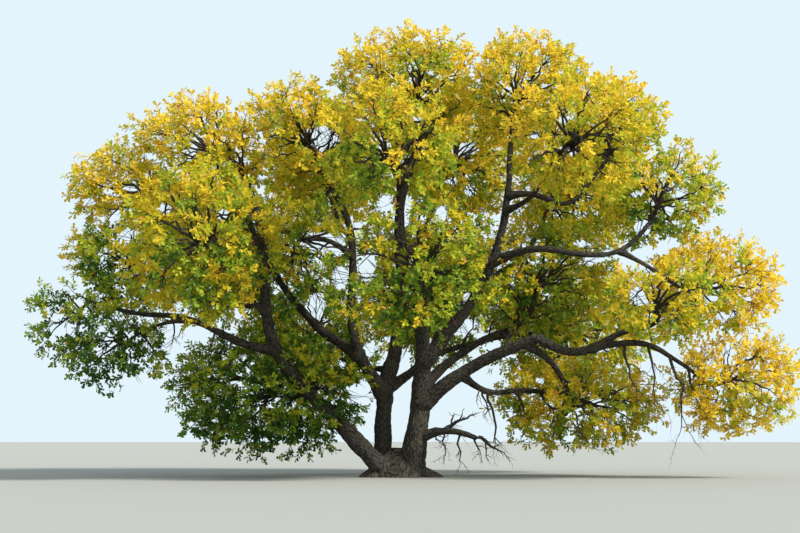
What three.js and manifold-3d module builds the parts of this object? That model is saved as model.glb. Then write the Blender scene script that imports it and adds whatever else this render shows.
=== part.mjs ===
// A wide spreading oak in autumn leaf: three stems rise from one flared foot, boughs leave the
// stems, and all but two bare ones end in a mass of twigs and leaves. Millimetres, +Z up, origin on
// the ground in the middle of the foot. -Y is the side that the tree is seen from.
import * as THREE from "three";
import { mergeVertices } from "three/addons/utils/BufferGeometryUtils.js";
import Module from "manifold-3d";

const wasm = await Module();
wasm.setup();

// Clearance kept where one piece meets the next
const GAP = 0.3;
// Points are laid on this grid, so that shared corners meet exactly
const GRID = 0.01;
// Corners closer than this become one when a limb is cut, or when a mass of foliage is joined
const LIMB_TIDY = 0.05;
const FOLIAGE_TIDY = 0.5;

// The foot: half its width and depth at the ground, its height, and the swell of its roots
const FOOT_HALF_WIDTH = 1150;
const FOOT_HALF_DEPTH = 880;
const FOOT_HEIGHT = 820;
const FOOT_CENTRE = [20, 20];
const ROOT_COUNT = 5;
const ROOT_SWELL = 0.16;
const ROOT_TURN = 0.5;
const FOOT_SIDES = 16;
// Narrowing of the foot: height and width, as shares of the whole
const FOOT_PROFILE = [[-0.12, 1.06], [0.12, 0.88], [0.36, 0.62], [0.68, 0.44], [0.9, 0.24]];
// Height at which the foot ends and the three stems begin as pieces of their own
const FORK_HEIGHT = 850;
const FORK_HALVINGS = 40;
const GROUND_BLOCK = 6000;

// Facets of limbs and twigs
const STEM_SIDES = 8;
const BOUGH_SIDES = 6;
const STEM_OF_MASS_SIDES = 4;
const MASS_STEM_STEPS = 2;
const TWIG_SIDES = 3;
const STUB_STEPS = 2;
const STEM_STEP = 1150;
const BOUGH_STEP = 950;
const FEWEST_STEPS = 3;
// Limbs thin quickly near their foot and slowly near their tip
const TAPER_POWER = 0.8;

// Twigs and leaf sprays. A spray stands for a few hundred leaves and ends at the edge of its mass.
const BRANCHES_PER_MASS = 5;
const BRANCH_REACH = 0.4;
const BRANCH_FOOT_RADIUS = 40;
const BRANCH_TIP_RADIUS = 26;
const BRANCH_SHRINK = 0.8;
const BRANCH_SHORTEST = 250;
const STEM_REACH = 0.75;
const STEM_TIP_SHARE = 0.75;
const FIRST_BRANCH_SHARE = 0.45;
const SPRAY_LONGEST = 1750;
const SPRAY_SHORTEST = 600;
const SPRAY_STEP = 120;
const SPRAY_WIDTH_SHARE = 0.78;
const SPRAY_THICKNESS_SHARE = 0.03;
const SPRAY_WIDEST_AT = 0.56;
const SPRAY_SUNK = 8;
const SPRAY_SHARES = [1, 0.82, 0.64];
const SPRAY_LEAN = 0.85;
const SPRAY_EDGE = 0.98;
// Air between one mass's space and the next, in shares of a mass's size, and round every limb
const SPACE_MARGIN = 0.03;
const LIMB_CLEARANCE = 40;
const GOLDEN_ANGLE = Math.PI * (3 - Math.sqrt(5));
// Each seeded draw is the one before it times this factor, less whole multiples of this limit
const DRAW_FACTOR = 16807;
const DRAW_LIMIT = 2147483647;

// Finishes
const BARK = { color: 0x4a3d31, roughness: 0.95, metalness: 0 };
const GOLD_LEAF = { color: 0xc79a1e, roughness: 0.6, metalness: 0 };
const OLIVE_LEAF = { color: 0x8a8a22, roughness: 0.6, metalness: 0 };
const GREEN_LEAF = { color: 0x4c6a25, roughness: 0.6, metalness: 0 };

// The three stems. foot and tip are the ends of the centre line. bow is how far its middle stands
// off the straight line between them, wave how far it swings to and fro, ripple the third swing.
const STEMS = [
  {
    name: "left_stem", foot: [-150, -220, -150], tip: [-4240, -800, 8260],
    bow: [-970, -540, -450], wave: [-80, 70, -20], ripple: [180, 0, 80], radii: [280, 95],
  },
  {
    name: "middle_stem", foot: [-320, 400, -150], tip: [860, 300, 9900],
    bow: [-350, 240, 150], wave: [100, 160, 0], ripple: [-210, -120, 20], radii: [295, 95],
  },
  {
    name: "right_stem", foot: [400, -120, -150], tip: [860, -2600, 5100],
    bow: [0, 980, 610], wave: [60, -160, -120], ripple: [-50, -60, 0], radii: [400, 105],
  },
];

// The boughs. at is the share of the parent's length where a bough leaves it.
const BOUGHS = [
  {
    name: "left_low_bough", parent: "left_stem", at: 0.5, tip: [-8250, -1150, 4800],
    bow: [0, -280, 100], ripple: [0, 0, -100], radii: [130, 50],
  },
  {
    name: "left_hanging_bough", parent: "left_low_bough", at: 0.47, tip: [-6950, -1500, 3980],
    bow: [-50, 0, 90], radii: [68, 45],
  },
  {
    name: "left_middle_bough", parent: "left_stem", at: 0.63, tip: [-6850, 0, 5450],
    bow: [0, 50, -230], radii: [85, 55],
  },
  {
    name: "left_high_bough", parent: "left_stem", at: 0.76, tip: [-6050, 0, 7650],
    bow: [150, 0, -200], radii: [90, 55],
  },
  {
    name: "left_fore_bough", parent: "left_stem", at: 0.6, tip: [-4750, -2700, 5850],
    bow: [100, -150, -200], radii: [85, 55],
  },
  {
    name: "left_drooping_bough", parent: "left_stem", at: 0.27, tip: [-2900, 450, 2250],
    bow: [0, 100, 160], radii: [85, 55],
  },
  {
    name: "middle_left_bough", parent: "middle_stem", at: 0.235, tip: [-2050, 0, 8450],
    bow: [-100, -130, 0], wave: [-330, 0, -80], radii: [185, 80],
  },
  {
    name: "arching_bough", parent: "middle_left_bough", at: 0.63, tip: [-2650, -650, 6600],
    bow: [50, 0, 210], radii: [95, 55],
  },
  {
    name: "upper_fore_bough", parent: "middle_stem", at: 0.56, tip: [0, -2300, 7500],
    bow: [-100, -100, -250], radii: [95, 55],
  },
  {
    name: "middle_back_bough", parent: "middle_stem", at: 0.26, tip: [1450, 4100, 4900],
    bow: [150, 0, -350], wave: [0, -100, 0], radii: [150, 75],
  },
  {
    name: "back_low_right_bough", parent: "middle_back_bough", at: 0.5, tip: [4700, 3800, 4250],
    bow: [100, 0, 200], radii: [90, 55],
  },
  {
    name: "back_low_left_bough", parent: "middle_stem", at: 0.31, tip: [-2150, 3250, 3750],
    bow: [-100, 0, -150], radii: [90, 55],
  },
  {
    name: "back_left_bough", parent: "middle_left_bough", at: 0.2, tip: [-4450, 2600, 7500],
    bow: [-250, 0, -450], radii: [150, 85],
  },
  {
    name: "back_upper_bough", parent: "middle_left_bough", at: 0.72, tip: [-2050, 3150, 8300],
    bow: [0, 150, -250], radii: [90, 55],
  },
  {
    name: "back_top_bough", parent: "middle_stem", at: 0.63, tip: [1250, 3350, 8750],
    bow: [100, 100, -300], radii: [95, 55],
  },
  {
    name: "right_high_bough", parent: "right_stem", at: 0.52, tip: [3150, -800, 9250],
    bow: [670, -370, -290], wave: [0, 90, 0], radii: [200, 75],
  },
  {
    name: "right_crown_bough", parent: "right_high_bough", at: 0.78, tip: [5750, -1100, 8700],
    bow: [190, -330, -620], wave: [0, 50, 120], ripple: [0, 0, 110], radii: [95, 55],
  },
  {
    name: "right_shoulder_bough", parent: "right_high_bough", at: 0.5, tip: [6900, -1350, 6950],
    bow: [100, -750, -350], wave: [-110, 0, 290], radii: [120, 60],
  },
  {
    name: "right_outer_bough", parent: "right_shoulder_bough", at: 0.75, tip: [7800, -1400, 5150],
    bow: [0, -60, 50], radii: [75, 50],
  },
  {
    name: "right_inner_bough", parent: "right_stem", at: 0.4, tip: [3300, 1000, 4200],
    bow: [-220, 210, 160], radii: [150, 90],
  },
  {
    name: "right_long_bough", parent: "right_stem", at: 0.33, tip: [3800, -1300, 3830],
    bow: [-80, 60, 180], radii: [200, 145],
  },
  {
    name: "right_end_bough", parent: "right_long_bough", at: 1, tip: [8400, -1350, 2620],
    bow: [60, -380, 340], wave: [-60, 0, -260], ripple: [0, 0, -100], radii: [142, 50],
  },
  {
    name: "right_fore_bough", parent: "right_end_bough", at: 0.31, tip: [6650, -2150, 4050],
    bow: [0, -50, 80], radii: [100, 65],
  },
  {
    name: "right_hanging_bough", parent: "right_long_bough", at: 0.9, tip: [4750, -900, 2150],
    bow: [180, -100, 150], radii: [105, 65],
  },
  {
    name: "right_under_bough", parent: "right_long_bough", at: 0.38, tip: [4650, 500, 2350],
    bow: [0, 150, -230], wave: [0, 0, -120], ripple: [0, 0, -50], radii: [100, 60],
  },
  {
    name: "right_front_bough", parent: "right_high_bough", at: 0.72, tip: [4050, -2700, 8250],
    bow: [100, -100, -150], radii: [85, 55],
  },
  {
    name: "back_right_bough", parent: "right_high_bough", at: 0.42, tip: [4450, 3150, 7800],
    bow: [200, 200, -300], radii: [110, 60],
  },
  {
    name: "low_bough", parent: "right_stem", at: 0.185, tip: [2150, -1200, 1080],
    bow: [0, -40, 200], radii: [130, 70],
  },
];

// The masses of foliage. centre and half sizes bound each one's space, and bough is what carries it.
const MASSES = [
  { name: "left_tip_foliage", bough: "left_low_bough", centre: [-9050, -900, 4350], half: [1250, 1700, 1350] },
  { name: "left_hanging_foliage", bough: "left_hanging_bough", centre: [-7600, -1400, 3600], half: [1700, 1900, 1350] },
  { name: "left_outer_foliage", bough: "left_middle_bough", centre: [-7650, 0, 6050], half: [1900, 2500, 1750] },
  { name: "left_shoulder_foliage", bough: "left_high_bough", centre: [-7300, 200, 8000], half: [2250, 2600, 1750] },
  { name: "left_front_foliage", bough: "left_fore_bough", centre: [-5150, -4200, 6200], half: [2300, 2400, 2300] },
  { name: "left_top_foliage", bough: "left_stem", centre: [-5400, 0, 9300], half: [2500, 2800, 1600] },
  { name: "low_left_foliage", bough: "left_drooping_bough", centre: [-3500, 0, 2450], half: [3300, 2600, 2050] },
  { name: "upper_left_foliage", bough: "middle_left_bough", centre: [-2700, 0, 9700], half: [2100, 2900, 1600] },
  { name: "inner_left_foliage", bough: "arching_bough", centre: [-2950, -200, 6150], half: [2250, 2400, 2050] },
  { name: "top_foliage", bough: "middle_stem", centre: [450, 150, 11150], half: [2500, 2900, 1700] },
  { name: "upper_front_foliage", bough: "upper_fore_bough", centre: [-250, -4500, 8500], half: [2150, 2600, 1950] },
  { name: "centre_front_foliage", bough: "right_stem", centre: [400, -4700, 5400], half: [2550, 2400, 2200] },
  { name: "back_centre_foliage", bough: "middle_back_bough", centre: [950, 6300, 5650], half: [2450, 2700, 2550] },
  { name: "back_left_foliage", bough: "back_left_bough", centre: [-5500, 5000, 6800], half: [2300, 2900, 2400] },
  { name: "back_upper_foliage", bough: "back_upper_bough", centre: [-2400, 5300, 9500], half: [2200, 2900, 2000] },
  { name: "back_top_foliage", bough: "back_top_bough", centre: [1900, 5500, 9900], half: [2350, 2900, 2250] },
  { name: "back_low_left_foliage", bough: "back_low_left_bough", centre: [-2850, 5250, 4200], half: [2450, 2800, 1950] },
  { name: "back_low_right_foliage", bough: "back_low_right_bough", centre: [5200, 5200, 4500], half: [3000, 2800, 2300] },
  { name: "back_right_foliage", bough: "back_right_bough", centre: [5600, 5000, 8700], half: [2250, 2900, 2200] },
  { name: "top_right_foliage", bough: "right_high_bough", centre: [3500, 0, 11000], half: [2150, 2900, 1650] },
  { name: "right_front_foliage", bough: "right_front_bough", centre: [4650, -4600, 8800], half: [2050, 2500, 1900] },
  { name: "right_crown_foliage", bough: "right_crown_bough", centre: [5950, -200, 9700], half: [1800, 2800, 1700] },
  { name: "right_shoulder_foliage", bough: "right_shoulder_bough", centre: [7350, -400, 7900], half: [1850, 2600, 1700] },
  { name: "right_outer_foliage", bough: "right_outer_bough", centre: [8750, -700, 5250], half: [2050, 2400, 1650] },
  { name: "right_middle_foliage", bough: "right_inner_bough", centre: [4150, 700, 5700], half: [2350, 2200, 1950] },
  { name: "right_fore_foliage", bough: "right_fore_bough", centre: [6900, -3400, 4700], half: [1850, 2200, 1300] },
  { name: "right_tip_foliage", bough: "right_end_bough", centre: [9250, -1100, 2650], half: [2050, 1900, 1600] },
  { name: "right_low_foliage", bough: "right_hanging_bough", centre: [5150, 300, 2050], half: [2700, 2400, 1500] },
];
const MASS_TINTS = {
  low_left_foliage: GREEN_LEAF, back_low_left_foliage: GREEN_LEAF, left_hanging_foliage: GREEN_LEAF,
  inner_left_foliage: GREEN_LEAF, back_low_right_foliage: GREEN_LEAF, back_centre_foliage: OLIVE_LEAF,
  centre_front_foliage: OLIVE_LEAF, right_middle_foliage: OLIVE_LEAF, left_tip_foliage: OLIVE_LEAF,
  right_low_foliage: OLIVE_LEAF, back_left_foliage: OLIVE_LEAF,
};

const vector = (numbers = [0, 0, 0]) => new THREE.Vector3(...numbers);
const LATHE_AXIS = new THREE.Vector3(0, 1, 0);

// The centre line of a limb: a straight line with a bow, a wave and a ripple laid on it
class LimbLine extends THREE.Curve {
  constructor(foot, tip, bow, wave, ripple) {
    super();
    this.foot = foot;
    this.tip = tip;
    this.swings = [vector(bow), vector(wave), vector(ripple)];
  }

  getPoint(share, target = new THREE.Vector3()) {
    target.lerpVectors(this.foot, this.tip, share);
    this.swings.forEach((swing, count) => {
      target.addScaledVector(swing, Math.sin((count + 1) * Math.PI * share));
    });
    return target;
  }
}

// Puts a point on the grid
function snap(point) {
  return point.divideScalar(GRID).round().multiplyScalar(GRID);
}

function solidFrom(geometry) {
  geometry.deleteAttribute("normal");
  geometry.deleteAttribute("uv");
  const closed = mergeVertices(geometry, GRID / 2);
  return new wasm.Manifold(new wasm.Mesh({
    numProp: 3,
    vertProperties: new Float32Array(closed.attributes.position.array),
    triVerts: new Uint32Array(closed.index.array),
  }));
}

// The largest single body of a solid: loose scraps and sealed hollows are left out
function largestBody(solid, tidy) {
  const bodies = solid.simplify(tidy).decompose();
  return bodies.reduce((best, body) => (body.volume() > best.volume() ? body : best));
}

// A closed tube along a line: the rings of a cylinder laid square to the line, each at its radius
function tubeAlong(line, radiusAt, sides, steps, from = 0, to = 1) {
  const rings = [];
  const turn = new THREE.Quaternion();
  let before = LATHE_AXIS;
  for (let step = 0; step <= steps; step += 1) {
    const share = from + (to - from) * step / steps;
    const along = line.getTangentAt(share);
    turn.premultiply(new THREE.Quaternion().setFromUnitVectors(before, along));
    before = along;
    rings.push({ centre: line.getPointAt(share), turn: turn.clone(), radius: radiusAt(share) });
  }
  const geometry = new THREE.CylinderGeometry(1, 1, 1, sides, steps);
  const corners = geometry.attributes.position;
  const corner = new THREE.Vector3();
  for (let index = 0; index < corners.count; index += 1) {
    corner.fromBufferAttribute(corners, index);
    const ring = rings[Math.round((corner.y + 0.5) * steps)];
    corner.setY(0).multiplyScalar(ring.radius).applyQuaternion(ring.turn).add(ring.centre);
    snap(corner);
    corners.setXYZ(index, corner.x, corner.y, corner.z);
  }
  return solidFrom(geometry);
}

function taper(radii) {
  return (share) => radii[0] + (radii[1] - radii[0]) * share ** TAPER_POWER;
}

// Limbs by name, each with its line, its radius rule and its length
const limbs = new Map();

function addLimb(spec, foot, sides, stepLength) {
  const line = new LimbLine(foot, vector(spec.tip), spec.bow, spec.wave, spec.ripple);
  const length = line.getLength();
  const steps = Math.max(FEWEST_STEPS, Math.round(length / stepLength));
  const limb = { name: spec.name, line, length, steps, sides, radiusAt: taper(spec.radii), from: 0 };
  limbs.set(spec.name, limb);
  return limb;
}

// The tube of a limb, made thicker by grow all round and past its tip
function limbTube(limb, grow = 0) {
  const facetGrow = grow / Math.cos(Math.PI / limb.sides);
  const tube = tubeAlong(limb.line, (share) => limb.radiusAt(share) + facetGrow,
    limb.sides, limb.steps, limb.from, 1);
  if (grow === 0) {
    return tube;
  }
  const end = limb.line.getTangentAt(1).multiplyScalar(grow);
  return tube.add(tube.translate([end.x, end.y, end.z]));
}

// The share of a stem's line that lies at the fork's height
function shareAtHeight(line, height) {
  let low = 0;
  let high = 1;
  for (let turn = 0; turn < FORK_HALVINGS; turn += 1) {
    const middle = (low + high) / 2;
    if (line.getPointAt(middle).z < height) {
      low = middle;
    } else {
      high = middle;
    }
  }
  return low;
}

// The flared foot: a turned profile, widened to an oval and swelled where the roots leave it
function flareSolid() {
  const profile = [new THREE.Vector2(0, FOOT_PROFILE[0][0] * FOOT_HEIGHT)];
  FOOT_PROFILE.forEach(([height, width]) => profile.push(new THREE.Vector2(width, height * FOOT_HEIGHT)));
  profile.push(new THREE.Vector2(0, FOOT_HEIGHT));
  const geometry = new THREE.LatheGeometry(profile, FOOT_SIDES);
  const corners = geometry.attributes.position;
  for (let index = 0; index < corners.count; index += 1) {
    const angle = Math.atan2(corners.getZ(index), corners.getX(index));
    const low = 1 - corners.getY(index) / FOOT_HEIGHT;
    const swell = 1 + ROOT_SWELL * low * Math.cos(ROOT_COUNT * angle + ROOT_TURN);
    const corner = snap(new THREE.Vector3(
      FOOT_CENTRE[0] + corners.getX(index) * FOOT_HALF_WIDTH * swell,
      FOOT_CENTRE[1] - corners.getZ(index) * FOOT_HALF_DEPTH * swell,
      corners.getY(index),
    ));
    corners.setXYZ(index, corner.x, corner.y, corner.z);
  }
  return solidFrom(geometry);
}

// The foot: flare and the three stems' first stretch in one, cut flat at the ground
function trunkSolid() {
  let trunk = flareSolid();
  STEMS.forEach(({ name }) => {
    const stem = limbs.get(name);
    trunk = trunk.add(tubeAlong(stem.line, stem.radiusAt, stem.sides, STUB_STEPS, 0, stem.fork));
  });
  const above = new THREE.BoxGeometry(GROUND_BLOCK, GROUND_BLOCK, GROUND_BLOCK);
  above.translate(0, 0, GROUND_BLOCK / 2);
  return largestBody(trunk.intersect(solidFrom(above)), LIMB_TIDY);
}

function boxesMeet(first, second) {
  return [0, 1, 2].every((axis) => first.min[axis] < second.max[axis] && second.min[axis] < first.max[axis]);
}

// Every limb's solid, each cut clear of the limbs before it
function limbSolids() {
  const solids = new Map();
  const grown = [];
  limbs.forEach((limb, name) => {
    let solid = limbTube(limb);
    grown.forEach((earlier) => {
      if (boxesMeet(earlier.boundingBox(), solid.boundingBox())) {
        solid = solid.subtract(earlier);
      }
    });
    solids.set(name, largestBody(solid, LIMB_TIDY));
    grown.push(limbTube(limb, GAP));
  });
  return solids;
}

// Seeded draws between 0 and 1: each mass has its own run of them. The first would be close to 0 for
// every small seed, so it isn't used.
function drawsFrom(seed) {
  let state = (seed * DRAW_FACTOR) % DRAW_LIMIT;
  return () => {
    state = (state * DRAW_FACTOR) % DRAW_LIMIT;
    return state / DRAW_LIMIT;
  };
}

// The index-th of count directions spread evenly over a ball
function spreadDirection(index, count) {
  const height = 1 - (2 * index + 1) / count;
  const ring = Math.sqrt(1 - height * height);
  const angle = index * GOLDEN_ANGLE;
  return new THREE.Vector3(ring * Math.cos(angle), ring * Math.sin(angle), height);
}

// How far out a point lies in a mass: 0 at its centre, 1 at the edge of its space
function depthIn(mass, point) {
  return Math.hypot(...[0, 1, 2].map(
    (axis) => (point.getComponent(axis) - mass.centre[axis]) / mass.half[axis],
  ));
}

// A point is in a mass's own space where it is inside it and further into it than into any other
function inOwnSpace(mass, point) {
  const own = depthIn(mass, point);
  return own < 1 && MASSES.every((other) => other === mass || own + SPACE_MARGIN < depthIn(other, point));
}

// Straight stretches of every limb and of every mass's stem, to keep twigs and leaves off them
const stretches = [];

function addStretches(owner, line, radiusAt, steps, from = 0) {
  for (let step = 0; step < steps; step += 1) {
    const start = from + (1 - from) * step / steps;
    const end = from + (1 - from) * (step + 1) / steps;
    stretches.push({
      owner,
      line: new THREE.Line3(line.getPointAt(start), line.getPointAt(end)),
      radius: radiusAt(start),
    });
  }
}

function clearOfLimbs(mass, edge) {
  return stretches.every((stretch) => stretch.owner === mass.name
    || Math.sqrt(edge.distanceSqToLine3(stretch.line)) > stretch.radius + LIMB_CLEARANCE);
}

// The stem of a mass goes on from its bough's tip, in the bough's direction, then to the middle
function massStem(mass) {
  const bough = limbs.get(mass.bough);
  const along = bough.line.getTangentAt(1);
  const foot = bough.line.getPointAt(1).addScaledVector(along, GAP);
  const end = foot.clone().lerp(vector(mass.centre), STEM_REACH);
  const pull = foot.clone().addScaledVector(along, foot.distanceTo(end) / 2);
  const line = new THREE.QuadraticBezierCurve3(foot, pull, end);
  const footRadius = bough.radiusAt(1);
  return { line, radiusAt: taper([footRadius, footRadius * STEM_TIP_SHARE]) };
}

// A closed three-sided piece through rows, each with its centre, its own two directions and its
// half width and half thickness along them. A row of no width is a point.
function bladeSolid(rows) {
  const profile = rows.map((row, index) => new THREE.Vector2(row.half[0] > 0 ? 1 : 0, index));
  if (rows[0].half[0] > 0) {
    profile.unshift(new THREE.Vector2(0, 0));
  }
  const geometry = new THREE.LatheGeometry(profile, TWIG_SIDES);
  const corners = geometry.attributes.position;
  for (let index = 0; index < corners.count; index += 1) {
    const row = rows[Math.round(corners.getY(index))];
    const corner = row.centre.clone()
      .addScaledVector(row.across, corners.getX(index) * row.half[0])
      .addScaledVector(row.over, corners.getZ(index) * row.half[1]);
    snap(corner);
    corners.setXYZ(index, corner.x, corner.y, corner.z);
  }
  return solidFrom(geometry);
}

// Rows of a leaf spray from the point where it leaves its twig
function sprayRows(root, along, across, length) {
  const over = new THREE.Vector3().crossVectors(across, along).normalize();
  const broad = [length * SPRAY_WIDTH_SHARE / Math.sqrt(3), length * SPRAY_THICKNESS_SHARE];
  return [[0, [0, 0]], [SPRAY_WIDEST_AT, broad], [1, [0, 0]]].map(([share, half]) => (
    { centre: root.clone().addScaledVector(along, share * length), across, over, half }
  ));
}

// Rows of a branch, square to it, turned so that it runs on into the spray at its end
function stalkRows(branch, across) {
  const along = branch.delta(new THREE.Vector3()).normalize();
  const level = across.clone().addScaledVector(along, -across.dot(along)).normalize();
  const over = new THREE.Vector3().crossVectors(level, along);
  return [[branch.start, BRANCH_FOOT_RADIUS], [branch.end, BRANCH_TIP_RADIUS]].map(([centre, radius]) => (
    { centre, across: level, over, half: [radius, radius] }
  ));
}

// The longest spray towards a target that stays in its mass's space, clear of the limbs and of the
// sprays that have grown, or none. Its blade faces outward as far as its direction lets it.
function fittingSpray(mass, foot, target, outward, grown) {
  const along = target.clone().sub(foot).normalize();
  const across = new THREE.Vector3().crossVectors(along, outward).normalize();
  const longest = Math.min(SPRAY_LONGEST, foot.distanceTo(target) + SPRAY_SUNK);
  for (let length = longest; length >= SPRAY_SHORTEST; length -= SPRAY_STEP) {
    const rows = sprayRows(foot.clone().addScaledVector(along, -SPRAY_SUNK), along, across, length);
    const [root, waist, tip] = rows.map((row) => row.centre);
    const sides = [-1, 1].map((side) => waist.clone()
      .addScaledVector(across, side * length * SPRAY_WIDTH_SHARE / 2));
    const rim = [root, sides[0], tip, sides[1]];
    const edges = rim.map((corner, index) => new THREE.Line3(corner, rim[(index + 1) % rim.length]));
    edges.push(new THREE.Line3(root, tip), new THREE.Line3(sides[0], sides[1]));
    const inside = edges.slice(1, 5).every((edge) => inOwnSpace(mass, edge.end)
      && inOwnSpace(mass, edge.getCenter(new THREE.Vector3())));
    if (inside && edges.every((edge) => clearOfLimbs(mass, edge))) {
      const solid = bladeSolid(rows);
      if (grown.every((other) => solid.intersect(other).isEmpty())) {
        return { rows, across, solid };
      }
    }
  }
  return null;
}

// The longest branch towards a target that stays in its mass's space and clear of the limbs
function fittingBranch(mass, foot, target) {
  let end = target;
  while (foot.distanceTo(end) > BRANCH_SHORTEST) {
    const edge = new THREE.Line3(foot, end);
    if (inOwnSpace(mass, end) && clearOfLimbs(mass, edge)) {
      return edge;
    }
    end = foot.clone().lerp(end, BRANCH_SHRINK);
  }
  return null;
}

// The point on the edge of a mass's space that lies turned off a direction by a lean, at an angle
function edgePoint(mass, direction, lean, angle) {
  const side = new THREE.Vector3(-direction.y, direction.x, 0).normalize();
  const rise = new THREE.Vector3().crossVectors(direction, side);
  return direction.clone()
    .addScaledVector(side, lean * Math.cos(angle))
    .addScaledVector(rise, lean * Math.sin(angle))
    .normalize().multiply(vector(mass.half)).multiplyScalar(SPRAY_EDGE).add(vector(mass.centre));
}

// A mass of foliage: branches leave its stem for points spread through its space, and from each
// branch leaf sprays spread to the edge of that space, the first as the branch's own widened end
function massSolid(mass, index) {
  const draw = drawsFrom(index + 1);
  const stem = massStem(mass);
  const centre = vector(mass.centre);
  const branches = [];
  for (let count = 0; count < BRANCHES_PER_MASS; count += 1) {
    const direction = spreadDirection(count, BRANCHES_PER_MASS);
    const target = direction.clone().multiply(vector(mass.half)).multiplyScalar(BRANCH_REACH).add(centre);
    const stemShare = FIRST_BRANCH_SHARE + (1 - FIRST_BRANCH_SHARE) * count / (BRANCHES_PER_MASS - 1);
    const line = fittingBranch(mass, stem.line.getPointAt(stemShare), target);
    if (line !== null) {
      branches.push({ line, direction, firstAngle: draw() * 2 * Math.PI });
    }
  }
  const stemSolid = tubeAlong(stem.line, stem.radiusAt, STEM_OF_MASS_SIDES, MASS_STEM_STEPS);
  const grown = [];
  SPRAY_SHARES.forEach((share, round) => {
    branches.forEach((branch) => {
      if (round > 0 && !branch.solid) {
        return;
      }
      const angle = branch.firstAngle + round * 2 * Math.PI / SPRAY_SHARES.length;
      const foot = branch.line.at(share, new THREE.Vector3());
      const target = edgePoint(mass, branch.direction, SPRAY_LEAN, angle);
      const others = grown.filter((other) => other !== branch.solid);
      const spray = fittingSpray(mass, foot, target, target.clone().sub(centre), others);
      if (spray === null) {
        return;
      }
      if (round === 0) {
        branch.solid = bladeSolid([...stalkRows(branch.line, spray.across), ...spray.rows.slice(1)]);
        grown.push(branch.solid);
      } else {
        grown.push(spray.solid);
      }
    });
  });
  return largestBody(wasm.Manifold.union([stemSolid, ...grown]), FOLIAGE_TIDY);
}

function meshFrom(name, solid, finish) {
  const mesh = solid.getMesh();
  const geometry = new THREE.BufferGeometry();
  geometry.setAttribute("position", new THREE.BufferAttribute(new Float32Array(mesh.vertProperties), 3));
  geometry.setIndex(new THREE.BufferAttribute(new Uint32Array(mesh.triVerts), 1));
  geometry.computeVertexNormals();
  const made = new THREE.Mesh(geometry, new THREE.MeshStandardMaterial(finish));
  made.name = name;
  return made;
}

STEMS.forEach((spec) => {
  const stem = addLimb(spec, vector(spec.foot), STEM_SIDES, STEM_STEP);
  stem.fork = shareAtHeight(stem.line, FORK_HEIGHT);
  stem.from = stem.fork + GAP / stem.length;
});
BOUGHS.forEach((spec) => {
  addLimb(spec, limbs.get(spec.parent).line.getPointAt(spec.at), BOUGH_SIDES, BOUGH_STEP);
});
limbs.forEach((limb, name) => addStretches(name, limb.line, limb.radiusAt, limb.steps, limb.from));
MASSES.forEach((mass) => {
  const stem = massStem(mass);
  addStretches(mass.name, stem.line, stem.radiusAt, MASS_STEM_STEPS);
});

const tree = new THREE.Group();
tree.name = "spreading_oak";
const limbGroup = new THREE.Group();
limbGroup.add(meshFrom("trunk", trunkSolid(), BARK));
limbSolids().forEach((solid, name) => limbGroup.add(meshFrom(name, solid, BARK)));
const foliageGroup = new THREE.Group();
MASSES.forEach((mass, index) => {
  const finish = MASS_TINTS[mass.name] ?? GOLD_LEAF;
  foliageGroup.add(meshFrom(mass.name, massSolid(mass, index), finish));
});
tree.add(limbGroup, foliageGroup);

export default tree;
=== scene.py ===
"""A wide spreading oak in autumn leaf: furrowed bark on the foot, stems and boughs, then branches,
twigs and leaves grown on from them by one seeded rule. Metres, +Z up, -Y is the side seen."""

import functools
import math

import bmesh
import bpy
import numpy as np
from mathutils import Matrix, Vector, noise


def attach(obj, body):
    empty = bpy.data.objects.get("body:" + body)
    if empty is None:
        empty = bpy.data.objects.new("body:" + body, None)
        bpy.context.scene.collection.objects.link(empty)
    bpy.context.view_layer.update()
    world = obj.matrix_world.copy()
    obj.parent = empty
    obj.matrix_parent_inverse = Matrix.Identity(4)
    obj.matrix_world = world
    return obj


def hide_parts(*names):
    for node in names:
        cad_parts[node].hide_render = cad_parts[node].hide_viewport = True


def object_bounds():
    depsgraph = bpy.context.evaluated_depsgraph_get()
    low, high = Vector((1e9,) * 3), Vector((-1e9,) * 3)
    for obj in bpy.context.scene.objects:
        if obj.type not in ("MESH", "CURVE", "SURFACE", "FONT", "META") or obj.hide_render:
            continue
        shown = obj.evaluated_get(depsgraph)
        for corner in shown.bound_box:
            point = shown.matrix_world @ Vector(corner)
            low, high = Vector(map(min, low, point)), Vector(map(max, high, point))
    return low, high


bl_info = {
    "name": "Spreading Oak",
    "version": (1, 0, 0),
    "blender": (4, 5, 0),
    "location": "3D View > Sidebar > Oak",
    "description": "Models a wide oak in autumn leaf around its solid limbs",
    "category": "Object",
}

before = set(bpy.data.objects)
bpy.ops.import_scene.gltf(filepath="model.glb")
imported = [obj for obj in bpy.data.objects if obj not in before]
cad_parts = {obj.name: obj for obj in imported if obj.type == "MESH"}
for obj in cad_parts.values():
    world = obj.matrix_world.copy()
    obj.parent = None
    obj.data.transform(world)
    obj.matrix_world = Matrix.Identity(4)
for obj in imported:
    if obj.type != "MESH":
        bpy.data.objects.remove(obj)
SOLID_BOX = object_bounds()

MM = 0.001
GAP = 0.3 * MM
GOLDEN_ANGLE = math.pi * (3 - math.sqrt(5))

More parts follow.
